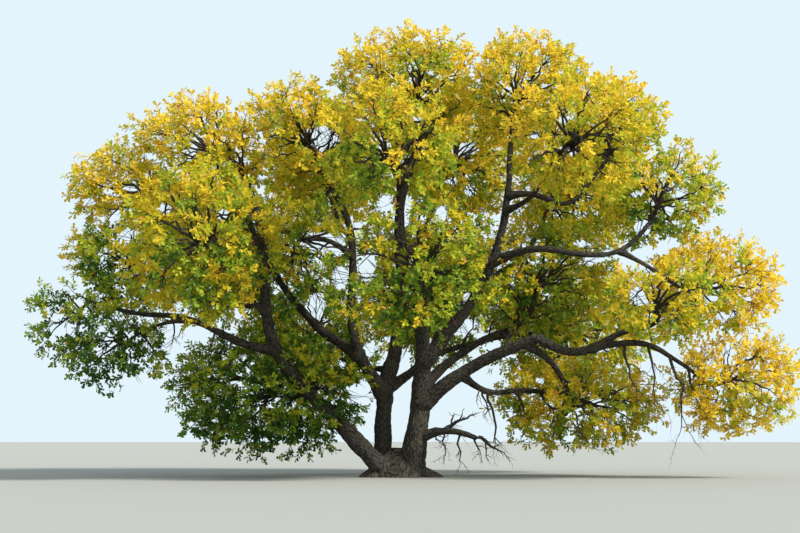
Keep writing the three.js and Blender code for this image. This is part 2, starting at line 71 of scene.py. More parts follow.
# Limbs, in millimetres: name, what it leaves, the share of that limb's length where it leaves it,
# its tip, its two radii, and its bow, with a wave and a ripple where it has them
LIMBS = (
    ("left_stem", None, 0, (-4240, -800, 8260), (280, 95), (-970, -540, -450), (-80, 70, -20),
     (180, 0, 80)),
    ("middle_stem", None, 0, (860, 300, 9900), (295, 95), (-350, 240, 150), (100, 160, 0),
     (-210, -120, 20)),
    ("right_stem", None, 0, (860, -2600, 5100), (400, 105), (0, 980, 610), (60, -160, -120), (-50, -60, 0)),
    ("left_low_bough", "left_stem", 0.5, (-8250, -1150, 4800), (130, 50), (0, -280, 100), (0, 0, 0),
     (0, 0, -100)),
    ("left_hanging_bough", "left_low_bough", 0.47, (-6950, -1500, 3980), (68, 45), (-50, 0, 90)),
    ("left_middle_bough", "left_stem", 0.63, (-6850, 0, 5450), (85, 55), (0, 50, -230)),
    ("left_high_bough", "left_stem", 0.76, (-6050, 0, 7650), (90, 55), (150, 0, -200)),
    ("left_fore_bough", "left_stem", 0.6, (-4750, -2700, 5850), (85, 55), (100, -150, -200)),
    ("left_drooping_bough", "left_stem", 0.27, (-2900, 450, 2250), (85, 55), (0, 100, 160)),
    ("middle_left_bough", "middle_stem", 0.235, (-2050, 0, 8450), (185, 80), (-100, -130, 0),
     (-330, 0, -80)),
    ("arching_bough", "middle_left_bough", 0.63, (-2650, -650, 6600), (95, 55), (50, 0, 210)),
    ("upper_fore_bough", "middle_stem", 0.56, (0, -2300, 7500), (95, 55), (-100, -100, -250)),
    ("middle_back_bough", "middle_stem", 0.26, (1450, 4100, 4900), (150, 75), (150, 0, -350), (0, -100, 0)),
    ("back_low_right_bough", "middle_back_bough", 0.5, (4700, 3800, 4250), (90, 55), (100, 0, 200)),
    ("back_low_left_bough", "middle_stem", 0.31, (-2150, 3250, 3750), (90, 55), (-100, 0, -150)),
    ("back_left_bough", "middle_left_bough", 0.2, (-4450, 2600, 7500), (150, 85), (-250, 0, -450)),
    ("back_upper_bough", "middle_left_bough", 0.72, (-2050, 3150, 8300), (90, 55), (0, 150, -250)),
    ("back_top_bough", "middle_stem", 0.63, (1250, 3350, 8750), (95, 55), (100, 100, -300)),
    ("right_high_bough", "right_stem", 0.52, (3150, -800, 9250), (200, 75), (670, -370, -290), (0, 90, 0)),
    ("right_crown_bough", "right_high_bough", 0.78, (5750, -1100, 8700), (95, 55), (190, -330, -620),
     (0, 50, 120), (0, 0, 110)),
    ("right_shoulder_bough", "right_high_bough", 0.5, (6900, -1350, 6950), (120, 60), (100, -750, -350),
     (-110, 0, 290)),
    ("right_outer_bough", "right_shoulder_bough", 0.75, (7800, -1400, 5150), (75, 50), (0, -60, 50)),
    ("right_inner_bough", "right_stem", 0.4, (3300, 1000, 4200), (150, 90), (-220, 210, 160)),
    ("right_long_bough", "right_stem", 0.33, (3800, -1300, 3830), (200, 145), (-80, 60, 180)),
    ("right_end_bough", "right_long_bough", 1, (8400, -1350, 2620), (142, 50), (60, -380, 340),
     (-60, 0, -260), (0, 0, -100)),
    ("right_fore_bough", "right_end_bough", 0.31, (6650, -2150, 4050), (100, 65), (0, -50, 80)),
    ("right_hanging_bough", "right_long_bough", 0.9, (4750, -900, 2150), (105, 65), (180, -100, 150)),
    ("right_under_bough", "right_long_bough", 0.38, (4650, 500, 2350), (100, 60), (0, 150, -230),
     (0, 0, -120), (0, 0, -50)),
    ("right_front_bough", "right_high_bough", 0.72, (4050, -2700, 8250), (85, 55), (100, -100, -150)),
    ("back_right_bough", "right_high_bough", 0.42, (4450, 3150, 7800), (110, 60), (200, 200, -300)),
    ("low_bough", "right_stem", 0.185, (2150, -1200, 1080), (130, 70), (0, -40, 200)),
)
# Where the stems start, a little under the ground
STEM_FEET = {
    "left_stem": (-150, -220, -150),
    "middle_stem": (-320, 400, -150),
    "right_stem": (400, -120, -150),
}
STEM_NAMES = tuple(STEM_FEET)

# Masses of foliage, in millimetres: name, its bough, the centre and half size of its space, and how far its
# leaves have turned, from 0 for green to 1 for gold; these are set partly as painted light: paler gold on
# the upper right where the key light falls, darker green low on the left as painted shade, and raised for
# some masses in shade to stand for light shining through them
MASSES = (
    ("left_tip", "left_low_bough", (-9050, -900, 4350), (1250, 1700, 1350), 0.36),
    ("left_hanging", "left_hanging_bough", (-7600, -1400, 3600), (1700, 1900, 1350), 0.24),
    ("left_outer", "left_middle_bough", (-7650, 0, 6050), (1900, 2500, 1750), 0.44),
    ("left_shoulder", "left_high_bough", (-7300, 200, 8000), (2250, 2600, 1750), 0.72),
    ("left_front", "left_fore_bough", (-5150, -4200, 6200), (2300, 2400, 2300), 0.58),
    ("left_top", "left_stem", (-5400, 0, 9300), (2500, 2800, 1600), 0.76),
    ("low_left", "left_drooping_bough", (-3500, 0, 2450), (3300, 2600, 2050), 0.25),
    ("upper_left", "middle_left_bough", (-2700, 0, 9700), (2100, 2900, 1600), 0.74),
    ("inner_left", "arching_bough", (-2950, -200, 6150), (2250, 2400, 2050), 0.44),
    ("top", "middle_stem", (450, 150, 11150), (2500, 2900, 1700), 0.7),
    ("upper_front", "upper_fore_bough", (-250, -4500, 8500), (2150, 2600, 1950), 0.56),
    ("centre_front", "right_stem", (400, -4700, 5400), (2550, 2400, 2200), 0.44),
    ("back_centre", "middle_back_bough", (950, 6300, 5650), (2450, 2700, 2550), 0.52),
    ("back_left", "back_left_bough", (-5500, 5000, 6800), (2300, 2900, 2400), 0.46),
    ("back_upper", "back_upper_bough", (-2400, 5300, 9500), (2200, 2900, 2000), 0.66),
    ("back_top", "back_top_bough", (1900, 5500, 9900), (2350, 2900, 2250), 0.68),
    ("back_low_left", "back_low_left_bough", (-2850, 5250, 4200), (2450, 2800, 1950), 0.46),
    ("back_low_right", "back_low_right_bough", (5200, 5200, 4500), (3000, 2800, 2300), 0.54),
    ("back_right", "back_right_bough", (5600, 5000, 8700), (2250, 2900, 2200), 0.66),
    ("top_right", "right_high_bough", (3500, 0, 11000), (2150, 2900, 1650), 0.72),
    ("right_front", "right_front_bough", (4650, -4600, 8800), (2050, 2500, 1900), 0.68),
    ("right_crown", "right_crown_bough", (5950, -200, 9700), (1800, 2800, 1700), 0.72),
    ("right_shoulder", "right_shoulder_bough", (7350, -400, 7900), (1850, 2600, 1700), 0.54),
    ("right_outer", "right_outer_bough", (8750, -700, 5250), (2050, 2400, 1650), 0.8),
    ("right_middle", "right_inner_bough", (4150, 700, 5700), (2350, 2200, 1950), 0.48),
    ("right_fore", "right_fore_bough", (6900, -3400, 4700), (1850, 2200, 1300), 0.62),
    ("right_tip", "right_end_bough", (9250, -1100, 2650), (2050, 1900, 1600), 0.82),
    ("right_low", "right_hanging_bough", (5150, 300, 2050), (2700, 2400, 1500), 0.64),
)

# Where the crown is seen from, and the lines of sight from there that stay open to the sky: where
# each crosses the plane of the trunk (x, z), with its half width and half height
SEEN_FROM = np.array((0.056, -50.0, 1.2))
SKY_GAPS = (
    (-6.3, 3.85, 0.25, 0.55), (-9.4, 4.1, 0.3, 0.15), (-7.15, 2.4, 0.6, 0.45), (-2.3, 4.8, 0.3, 0.4),
    (-2.25, 6.6, 0.35, 0.3), (-1.7, 6.5, 0.25, 0.3), (-0.85, 5.95, 0.25, 0.45), (-1.65, 5.6, 0.25, 0.35),
    (-0.85, 3.55, 0.2, 0.2), (-1.55, 3.2, 0.12, 0.2), (-1.05, 2.3, 0.3, 0.35), (0.15, 2.4, 0.25, 0.8),
    (0.1, 3.4, 0.25, 0.2), (1.75, 2.35, 0.65, 0.3), (2.7, 3.6, 0.15, 0.12), (1.8, 4.2, 0.4, 0.3),
    (1.95, 5.05, 0.15, 0.15), (2.85, 5.95, 0.1, 0.15), (-0.35, 7.7, 0.2, 0.25), (0.1, 7.85, 0.2, 0.2),
    (1.25, 7.45, 0.18, 0.2), (1.5, 8.35, 0.2, 0.12), (2.05, 8.05, 0.2, 0.15), (1.9, 9.25, 0.4, 0.22),
    (-2.2, 9.55, 0.6, 0.4), (0.95, 11.45, 0.1, 0.1), (0.55, 10.1, 0.15, 0.12), (4.7, 10.1, 0.2, 0.12),
    (4.9, 9.25, 0.3, 0.15), (3.9, 9.65, 0.15, 0.12), (4.15, 11.05, 0.12, 0.12), (7.7, 3.3, 0.25, 0.25),
    (6.9, 7.0, 0.25, 0.25), (6.95, 6.3, 0.3, 0.15), (7.5, 6.45, 0.2, 0.25), (5.15, 6.55, 0.2, 0.12),
    (5.5, 6.1, 0.3, 0.13), (6.75, 5.05, 0.25, 0.3), (8.8, 5.0, 0.2, 0.1), (9.15, 4.5, 0.25, 0.12),
    (7.65, 8.1, 0.15, 0.1), (8.0, 7.9, 0.15, 0.15), (7.7, 7.5, 0.15, 0.15), (6.75, 7.95, 0.2, 0.1),
    (5.8, 3.55, 0.2, 0.1), (4.0, 2.7, 0.12, 0.12), (-8.75, 7.75, 0.2, 0.15), (-7.5, 8.1, 0.25, 0.15),
    (-6.6, 7.55, 0.25, 0.15), (-5.9, 9.1, 0.15, 0.2), (-7.1, 9.05, 0.2, 0.12), (-8.0, 7.35, 0.15, 0.2),
    (-7.65, 6.8, 0.25, 0.2), (-4.95, 7.35, 0.2, 0.2), (-3.9, 8.45, 0.15, 0.1), (-4.45, 10.25, 0.12, 0.1),
)
# Limbs that show between the leaves: the share of each that stays clear, and how clear it is
SHOWING = (
    ("left_stem", 0, 0.17, 0.9), ("left_stem", 0.36, 0.52, 0.6), ("left_stem", 0.66, 0.9, 0.4),
    ("back_left_bough", 0.08, 1, 0.85), ("middle_stem", 0, 0.28, 0.9), ("middle_stem", 0.62, 0.78, 0.8),
    ("middle_stem", 0.8, 1, 0.7), ("right_stem", 0, 0.65, 1), ("low_bough", 0, 1, 1),
    ("middle_left_bough", 0, 0.2, 0.9), ("middle_left_bough", 0.45, 0.55, 0.5),
    ("middle_left_bough", 0.6, 0.95, 0.75), ("arching_bough", 0, 1, 0.8), ("left_low_bough", 0, 0.85, 0.8),
    ("right_high_bough", 0, 0.3, 0.9), ("right_high_bough", 0.45, 0.56, 0.7),
    ("right_high_bough", 0.8, 1, 0.7), ("right_shoulder_bough", 0.2, 0.95, 0.9),
    ("right_crown_bough", 0, 1, 0.75), ("right_outer_bough", 0, 0.9, 0.8),
    ("right_inner_bough", 0, 0.9, 0.9), ("right_long_bough", 0, 1, 1), ("right_end_bough", 0, 0.9, 1),
    ("right_hanging_bough", 0, 0.8, 0.8), ("right_under_bough", 0, 0.8, 0.85),
)
# Bare dead twigs: the limb each leaves, the share of it where it leaves, the way it goes, its
# length and its radius, in metres
BARE_TWIGS = (
    ("low_bough", 1, (0.9, -0.15, -0.35), 1.0, 0.07), ("low_bough", 0.95, (0.3, -0.2, -0.9), 0.7, 0.035),
    ("low_bough", 0.75, (0.15, 0.1, -1), 0.9, 0.04), ("low_bough", 0.5, (-0.1, -0.2, -1), 0.7, 0.03),
    ("low_bough", 0.35, (0.5, -0.3, -0.8), 0.6, 0.03), ("low_bough", 0.45, (0.9, -0.3, 0.45), 1.0, 0.07),
    ("right_stem", 0.24, (1, -0.5, -0.1), 1.3, 0.06),
    ("right_long_bough", 0.42, (0.4, 0.3, -1), 1.5, 0.055),
    ("right_under_bough", 0.3, (0.1, 0, -1), 1.4, 0.045),
    ("right_under_bough", 0.55, (0.3, 0.1, -1), 1.5, 0.05),
    ("right_under_bough", 0.8, (0.3, 0, -1), 1.3, 0.045),
    ("right_hanging_bough", 0.9, (0.5, 0, -0.9), 1.6, 0.05),
    ("right_hanging_bough", 0.7, (0.9, -0.2, -0.5), 1.8, 0.05),
    ("right_end_bough", 0.5, (0.3, -0.1, -1), 1.8, 0.045),
    ("right_end_bough", 0.62, (0.25, 0, -1), 1.9, 0.045),
    ("right_end_bough", 0.75, (0.15, 0, -1), 1.9, 0.05),
    ("right_end_bough", 0.88, (0.35, 0.1, -1), 1.3, 0.04),
    ("right_long_bough", 0.7, (0.5, 0.1, 0.8), 1.0, 0.04),
    ("left_low_bough", 0.25, (-0.2, 0, -1), 0.9, 0.03),
    ("left_low_bough", 0.35, (-0.5, -0.2, -0.9), 0.8, 0.03),
    ("left_low_bough", 0.5, (-0.3, 0, -1), 0.7, 0.03),
    ("left_hanging_bough", 0.4, (-0.3, 0.1, -1), 0.8, 0.03),
    ("arching_bough", 0.5, (-0.8, -0.2, -0.6), 0.9, 0.035),
    ("middle_left_bough", 0.75, (0.9, -0.2, 0.5), 0.9, 0.04),
    ("right_inner_bough", 0.5, (0.4, -0.3, 1), 1.2, 0.04),
    ("right_inner_bough", 0.75, (0.5, -0.3, 0.9), 1.0, 0.04),
)
# How they fork: where, how far from there, how widely, how much shorter and how often
FORK_SHARES = (0.3, 0.5, 0.7, 0.88)
FORK_SCATTER = 0.08
FORK_SPREAD = 0.55
FORK_SHORTENING = 0.5
FORK_LENGTHS = (0.6, 1.2)
THINNEST_FORK = 0.005
FORK_LEVELS = 3
BARE_POINTS = 8
BARE_CROOK = 0.05
BARE_TIP_SHARE = 0.3
BARE_LOWEST = 0.06

# How far apart the wood that shows is sampled, and how far twigs keep off the lines of sight to it
SHOWING_STEP = 0.12
SHOWING_MARGIN = 0.1
# Masses whose nearer branches show as dark lines between the leaves, and how clear they are
SHOWING_MASSES = ("top", "top_right", "right_front", "right_crown", "right_shoulder", "right_middle")
BRANCH_CLEARNESS = 0.6

# The foot: half its width and depth at the ground, its height, its profile (height and width as
# shares of the whole), and the swell of its roots
FOOT_SIZE = (1.15, 0.88, 0.82)
FOOT_CENTRE = (0.02, 0.02)
FOOT_PROFILE = ((-0.12, 1.06), (0.12, 0.88), (0.36, 0.62), (0.68, 0.44), (0.9, 0.24))
FOOT_HEIGHTS = np.linspace(-0.18, 0.98, 14)
FOOT_SIDES = 64
ROOT_COUNT = 5
ROOT_SWELL = 0.16
ROOT_TURN = 0.5

# Limbs: how they taper, how many divisions measure them, and the rings and sides of their tubes
TAPER_POWER = 0.8
LINE_DIVISIONS = 200
RING_STEP = 0.11
FEWEST_RINGS = 6
STEM_SIDES = 24
BOUGH_SIDES = 16
# Crooks of old wood: their size, their length, and how they fade towards thin limbs and both ends
CROOK = 0.05
CROOK_LENGTH = 1.1
THIN_CROOK = 0.35
CROOK_GROWTH = 2.5
CROOK_RISE = 0.7
# How limbs swell: along their length, and in a collar where they leave a thicker one
SWELL = 0.1
SWELLS_PER_METRE = 1.7
COLLAR = 0.45
COLLAR_LENGTH = 0.3
# Bark: how far its pattern moves on from limb to limb, the size and length of its plates, the
# steepness of their sides, the level that stays where the limb's skin is, and its larger lumps
PATTERN_SHIFT = 7.3
PLATE_SIZE = 0.1
PLATE_LENGTHENING = 0.36
PLATE_STEEPNESS = 2.2
PLATE_LEVEL = 0.6
DEEPEST_SHARE = 0.09
LUMP = 0.12
LUMPS_PER_METRE = 1.9
# How many points are worked on at once, on the bark and in the lines of sight
BARK_LOT = 8000
SIGHT_LOT = 4000

# Branches leave a mass's stem: how many, how far they reach, how far down the stem they start,
# and how they bend
BRANCH_DENSITY = 5.3
BRANCH_REACH = 0.7
BRANCH_SPREAD = (0.8, 1.15)
BRANCH_BACK = 0.35
BRANCH_SHORTEST = 0.25
BRANCH_POINTS = 10
BRANCH_CROOK = 0.022
BRANCH_BEND = 0.1
BRANCH_RISE = 0.12
# Ends that leave their own space are drawn in step by step
DRAW_STEPS = 12
DRAW_SHARE = 0.86
# Sprigs leave the branches: how many, fewer towards the middle, how long they may be, and how they
# bend
SPRIG_DENSITY = 5.2
SPRIG_POINTS = 4
SPRIG_SHORTEST = 0.12
SPRIG_LONGEST = 1.7
SPRIG_SCATTER = 0.05
SPRIG_BEND = 0.14
INNER_SHARE = 0.22
INNER_DEPTH = 0.3
OUTER_GAIN = 1.6
# The root of x to the fourth = x + 1, whose powers step evenly through a box
EVEN_RATIO = 1.2207440846
EVEN_STEPS = EVEN_RATIO ** -np.arange(1.0, 4.0)
# Twigs leave a sprig and leaves a twig: how many, the share of its length where the first is, and
# the fan: least and most spread, lean at the sides, lean of the last, and lift
TWIGS_PER_SPRIG = 5
FIRST_TWIG = 0.25
TWIG_FAN = (0.7, 1.3, 1.05, 0.15, 0.12)
TWIG_LENGTHS = (0.18, 0.34)
TWIG_RADIUS = 0.0055
LEAVES_PER_TWIG = 8
FIRST_LEAF = 0.2
LEAF_FAN = (0.7, 1.7, 1, 0.35, -0.18)
LEAF_SIZES = (0.75, 1.2)
# Tints: how much they change from patch to patch, outward, upward, spray by spray and leaf by leaf; outward
# and upward the leaves are both more turned and paler, partly painted light, and inward and downward darker
# green, partly painted shade
PATCH_TINT = 0.3
PATCHES_PER_METRE = 0.8
OUTWARD_TINT_AND_LIGHT = 0.35
UPWARD_TINT_AND_LIGHT = 0.13
SPRAY_TINT = 0.12
LEAF_TINT = 0.1
TINT_STEPS = 7
RUST_FROM = 0.97
# A mass's stem: how near it comes to the middle, its taper and its points
STEM_REACH = 0.75
STEM_TIP_SHARE = 0.75
STEM_POINTS = 13
# The edge of a mass's space for sprigs, the margin between spaces, and between leaves and the lines
# of sight to the wood that shows
EDGE = 0.97
SPACE_MARGIN = 0.01
LEAF_MARGIN = 0.03
# How far the ends of twigs may stand out of the box of the solids
PROUD = 0.15
# How far growth keeps off the limbs, the stretches that limbs are measured by, and how far round a
# mass they are looked for
LIMB_CLEARANCE = 0.04
STRETCH = 0.5
NEARBY = 3
UP = np.array((0.0, 0.0, 1.0))
FULL_TURN = 6.28
SEED = 4107

# Half an oak leaf, as shares of its length: along the midrib and out from it
LEAF_OUTLINE = ((0.36, 0.20), (0.52, 0.12), (0.76, 0.27))


def linear(code):
    """Linear colour with alpha from an sRGB hex code."""
    parts = [int(code[place:place + 2], 16) / 255 for place in (0, 2, 4)]
    return tuple(p / 12.92 if p <= 0.04045 else ((p + 0.055) / 1.055) ** 2.4 for p in parts) + (1.0,)


def unit(vectors):
    """Vectors of length one."""
    return vectors / np.maximum(np.linalg.norm(vectors, axis=-1, keepdims=True), 1e-9)


def lengths_of(vectors):
    """Lengths of the vectors that an array's last axis holds."""
    return np.linalg.norm(vectors, axis=-1)


class LimbLine:
    """Centre line of a limb: a straight line with a bow, a wave and a ripple laid on it."""

    def __init__(self, name, foot, tip, swings, radii):
        self.name = name
        self.foot = foot
        self.tip = np.array(tip) * MM
        self.swings = [np.array(swing) * MM for swing in swings]
        self.radii = [radius * MM for radius in radii]
        self.places = np.linspace(0, 1, LINE_DIVISIONS + 1)
        steps = np.diff(self.point(self.places), axis=0)
        self.reached = np.concatenate(([0], np.cumsum(lengths_of(steps))))
        self.length = self.reached[-1]

    def point(self, place):
        place = np.atleast_1d(place)[:, None]
        points = self.foot + (self.tip - self.foot) * place
        for count, swing in enumerate(self.swings, 1):
            points = points + swing * np.sin(count * np.pi * place)
        return points

    def place_of(self, share):
        return np.interp(np.atleast_1d(share) * self.length, self.reached, self.places)

    def at(self, share):
        return self.point(self.place_of(share))

    def along(self, share):
        place = self.place_of(share)
        ahead = self.point(np.minimum(place + 1e-4, 1)) - self.point(np.maximum(place - 1e-4, 0))
        return unit(ahead)

    def radius(self, share):
        return self.radii[0] + (self.radii[1] - self.radii[0]) * np.atleast_1d(share) ** TAPER_POWER


def limb_lines():
    """Every limb's centre line by name."""
    lines = {}
    for name, parent, at, tip, radii, *swings in LIMBS:
        foot = lines[parent].at(at)[0] if parent else np.array(STEM_FEET[name]) * MM
        lines[name] = LimbLine(name, foot, tip, swings, radii)
    return lines


# Noise vectors start from a random place, unless it is seeded
noise.seed_set(SEED)
LINES = limb_lines()
PARENTS = {row[0]: (row[1], row[2]) for row in LIMBS}


# Bark

def crooked(line, shares):
    """Points of a limb with the small crooks that old wood has, none at its two ends."""
    steady = np.sin(np.pi * shares)[:, None] ** CROOK_RISE
    seed = sum(ord(letter) for letter in line.name) * 0.37
    size = CROOK * min(1.0, THIN_CROOK + CROOK_GROWTH * line.radii[0])
    offsets = []
    for share in shares:
        spot = Vector((seed, share * line.length / CROOK_LENGTH, seed))
        offsets.append(tuple(noise.noise_vector(spot)))
    return line.at(shares) + np.array(offsets) * steady * size * 1.6


def limb_rings(line):
    """Centres, directions and radii of the rings of a limb, with a collar where it leaves its parent."""
    count = max(FEWEST_RINGS, round(line.length / RING_STEP))
    shares = np.linspace(0, 1, count + 1)
    centres = crooked(line, shares)
    radii = line.radius(shares)
    parent, at = PARENTS[line.name]
    reach = shares * line.length
    if parent is not None and at < 1:
        outside = np.maximum(reach - LINES[parent].radius(at)[0], 0)
        radii = radii * (1 + COLLAR * np.exp(-outside / (COLLAR_LENGTH * (0.4 + 4 * line.radii[0]))))
    seed = sum(ord(letter) for letter in line.name) * 0.11
    swells = [noise.noise(Vector((seed, place * SWELLS_PER_METRE, 0))) for place in reach]
    radii = radii * (1 + SWELL * np.array(swells))
    return shares, centres, unit(np.gradient(centres, axis=0)), radii


def frames_along(along):
    """Two directions square to a line at each of its points, turned as little as they can be."""
    across = np.zeros_like(along)
    helper = np.array((0.0, 1.0, 0.0)) if abs(along[0][1]) < 0.9 else np.array((1.0, 0.0, 0.0))
    side = unit(helper - along[0] * helper.dot(along[0]))
    for index, ahead in enumerate(along):
        side = unit(side - ahead * side.dot(ahead))
        across[index] = side
    return across, np.cross(along, across)


def ring_matrix(centre, ahead, side, over, radius):
    """Places a ring of radius one."""
    return Matrix((
        (side[0] * radius, over[0] * radius, ahead[0], centre[0]),
        (side[1] * radius, over[1] * radius, ahead[1], centre[1]),
        (side[2] * radius, over[2] * radius, ahead[2], centre[2]),
        (0, 0, 0, 1),
    ))


def first_ring(bm, sides, matrix):
    """The capped ring that a tube starts from: its corners and its edges."""
    verts = bmesh.ops.create_circle(bm, cap_ends=True, segments=sides, radius=1, matrix=matrix)["verts"]
    return verts, [edge for edge in {e for v in verts for e in v.link_edges} if edge.is_boundary]


def next_ring(bm, edges):
    """The ring drawn out of the last one: its corners and its edges."""
    drawn = bmesh.ops.extrude_edge_only(bm, edges=edges)["geom"]
    kinds = (bmesh.types.BMVert, bmesh.types.BMEdge)
    return [[item for item in drawn if isinstance(item, kind)] for kind in kinds]


def close_tube(bm, edges):
    """Caps the last ring."""
    bmesh.ops.edgeloop_fill(bm, edges=edges)
    bmesh.ops.recalc_face_normals(bm, faces=bm.faces[:])


def extrude_limb(bm, line, sides):
    """A limb as a closed tube: one ring drawn out along its line."""
    _, centres, along, radii = limb_rings(line)
    across, over = frames_along(along)
    before, *others = (ring_matrix(*row) for row in zip(centres, along, across, over, radii))
    _, edges = first_ring(bm, sides, before)
    for after in others:
        verts, edges = next_ring(bm, edges)
        bmesh.ops.transform(bm, matrix=after @ before.inverted(), verts=verts)
        before = after
    close_tube(bm, edges)


def extrude_foot(bm):
    """The flared foot of the tree, swelled where its roots leave it."""
    levels, widths = zip(*FOOT_PROFILE)
    verts, edges = first_ring(bm, FOOT_SIDES, Matrix())
    centre, size = (0, 0), (1, 1)
    for height in FOOT_HEIGHTS:
        width = np.interp(height, levels, widths)
        for vert in verts:
            angle = math.atan2((vert.co.y - centre[1]) / size[1], (vert.co.x - centre[0]) / size[0])
            swell = 1 + ROOT_SWELL * (1 - height) * math.cos(ROOT_COUNT * angle + ROOT_TURN)
            vert.co = (
                FOOT_CENTRE[0] + math.cos(angle) * width * swell * FOOT_SIZE[0],
                FOOT_CENTRE[1] + math.sin(angle) * width * swell * FOOT_SIZE[1],
                height * FOOT_SIZE[2],
            )
        if height < FOOT_HEIGHTS[-1]:
            verts, edges = next_ring(bm, edges)
            centre, size = FOOT_CENTRE, FOOT_SIZE
    close_tube(bm, edges)


def placed(name, data):
    """An object of the scene."""
    item = bpy.data.objects.new(name, data)
    bpy.context.scene.collection.objects.link(item)
    return item


def joined_skin(name, bm, grain):
    """One closed skin over everything in a bmesh, with even faces of the size of grain."""
    rough = bpy.data.meshes.new(name)
    bm.to_mesh(rough)
    bm.free()
    holder = placed(name + "_rough", rough)
    remesh = holder.modifiers.new("skin", "REMESH")
    remesh.mode = "VOXEL"
    remesh.voxel_size = grain
    graph = bpy.context.evaluated_depsgraph_get()
    skin = bpy.data.meshes.new_from_object(holder.evaluated_get(graph))
    bpy.data.objects.remove(holder)
    bpy.data.meshes.remove(rough)
    return skin


def vectors_of(items, key):
    """The vectors that the points of a mesh hold under a key."""
    vectors = np.empty(len(items) * 3, np.float32)
    items.foreach_get(key, vectors)
    return vectors.reshape(-1, 3)


def bark_places(points, names):
    """Each point's place on the limb it lies on: round it (two numbers) and along it."""
    rows = []
    for order, name in enumerate(names):
        shares, rings, along, ring_radii = limb_rings(LINES[name])
        reached = shares * LINES[name].length + order * PATTERN_SHIFT
        rows.append((rings, *frames_along(along), along, ring_radii, reached))
    centres, sides, overs, aheads, radii, reaches = (np.concatenate(part) for part in zip(*rows))
    owners = np.empty(len(points), int)
    for start in range(0, len(points), BARK_LOT):
        part = points[start:start + BARK_LOT]
        square = (part ** 2).sum(1)[:, None] + (centres ** 2).sum(1)[None] - 2 * part @ centres.T
        owners[start:start + BARK_LOT] = np.argmin(np.sqrt(np.maximum(square, 0)) - radii, axis=1)
    off = points - centres[owners]
    right, up, far = ((off * ways[owners]).sum(1) for ways in (sides, overs, aheads))
    girth = radii[owners] / np.maximum(np.hypot(right, up), 1e-4)
    return np.stack((right * girth, up * girth, reaches[owners] + far), 1), radii[owners]


def furrow(place):
    """Height of the bark from 0 in a furrow to 1 on a plate, for a place round and along a limb."""
    bent = Vector((place[0], place[1], place[2] * PLATE_LENGTHENING))
    bent += noise.noise_vector(bent * 5.0) * 0.03
    distances = noise.voronoi(bent / PLATE_SIZE, distance_metric="DISTANCE")[0]
    return min(1.0, (distances[1] - distances[0]) * PLATE_STEEPNESS)


def roughen(mesh, names, depth):
    """Lifts the plates of the bark and keeps each point's place on its limb for the material."""
    points = vectors_of(mesh.vertices, "co").astype(np.float64)
    normals = vectors_of(mesh.vertex_normals, "vector")
    places, girths = bark_places(points, names)
    lifts = np.empty(len(points))
    for index, place in enumerate(places):
        lump = noise.noise(Vector(points[index] * LUMPS_PER_METRE)) * LUMP * girths[index]
        lifts[index] = min(depth, DEEPEST_SHARE * girths[index]) * (furrow(place) - PLATE_LEVEL) + lump
    points += normals * lifts[:, None]
    mesh.vertices.foreach_set("co", points.astype(np.float32).ravel())
    kept = mesh.attributes.new("bark_place", "FLOAT_VECTOR", "POINT")
    kept.data.foreach_set("vector", places.astype(np.float32).ravel())
    mesh.update()


def cut_at_ground(mesh):
    """Cuts the foot flat at the ground and closes the cut."""
    bm = bmesh.new()
    bm.from_mesh(mesh)
    geometry = bm.verts[:] + bm.edges[:] + bm.faces[:]
    cut = bmesh.ops.bisect_plane(bm, geom=geometry, plane_co=(0, 0, 0), plane_no=(0, 0, 1), clear_inner=True)
    edges = [item for item in cut["geom_cut"] if isinstance(item, bmesh.types.BMEdge)]
    bmesh.ops.holes_fill(bm, edges=edges, sides=0)
    bmesh.ops.recalc_face_normals(bm, faces=bm.faces[:])
    bm.to_mesh(mesh)
    bm.free()


def shown(name, mesh, materials, nodes):
    """A finished piece of the tree, and the solids of the frame that it stands for, if any."""
    for material in materials:
        mesh.materials.append(material)
    piece = placed(name, mesh)
    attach(piece, "root")
    if nodes:
        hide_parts(*nodes)


# Finishes

def add_node(tree, kind, settings=None, **inputs):
    """A node with its settings, and its inputs set to numbers or linked to outputs."""
    node = tree.nodes.new("ShaderNode" + kind)
    for key, value in (settings or {}).items():
        setattr(node, key, value)
    for key, value in inputs.items():
        socket = node.inputs[int(key[1:])] if key[0] == "_" else node.inputs[key.replace("_", " ")]
        if isinstance(value, bpy.types.NodeSocket):
            tree.links.new(value, socket)
        else:
            socket.default_value = value
    return node


def blank_material(name):
    material = bpy.data.materials.new(name)
    material.use_nodes = True
    material.node_tree.nodes.clear()
    return material, material.node_tree


def set_ramp(node, stops):
    """Colour stops of a ramp: position and colour."""
    elements = node.color_ramp.elements
    while len(elements) < len(stops):
        elements.new(1.0)
    for element, (position, colour) in zip(elements, stops):
        element.position = position
        element.color = colour


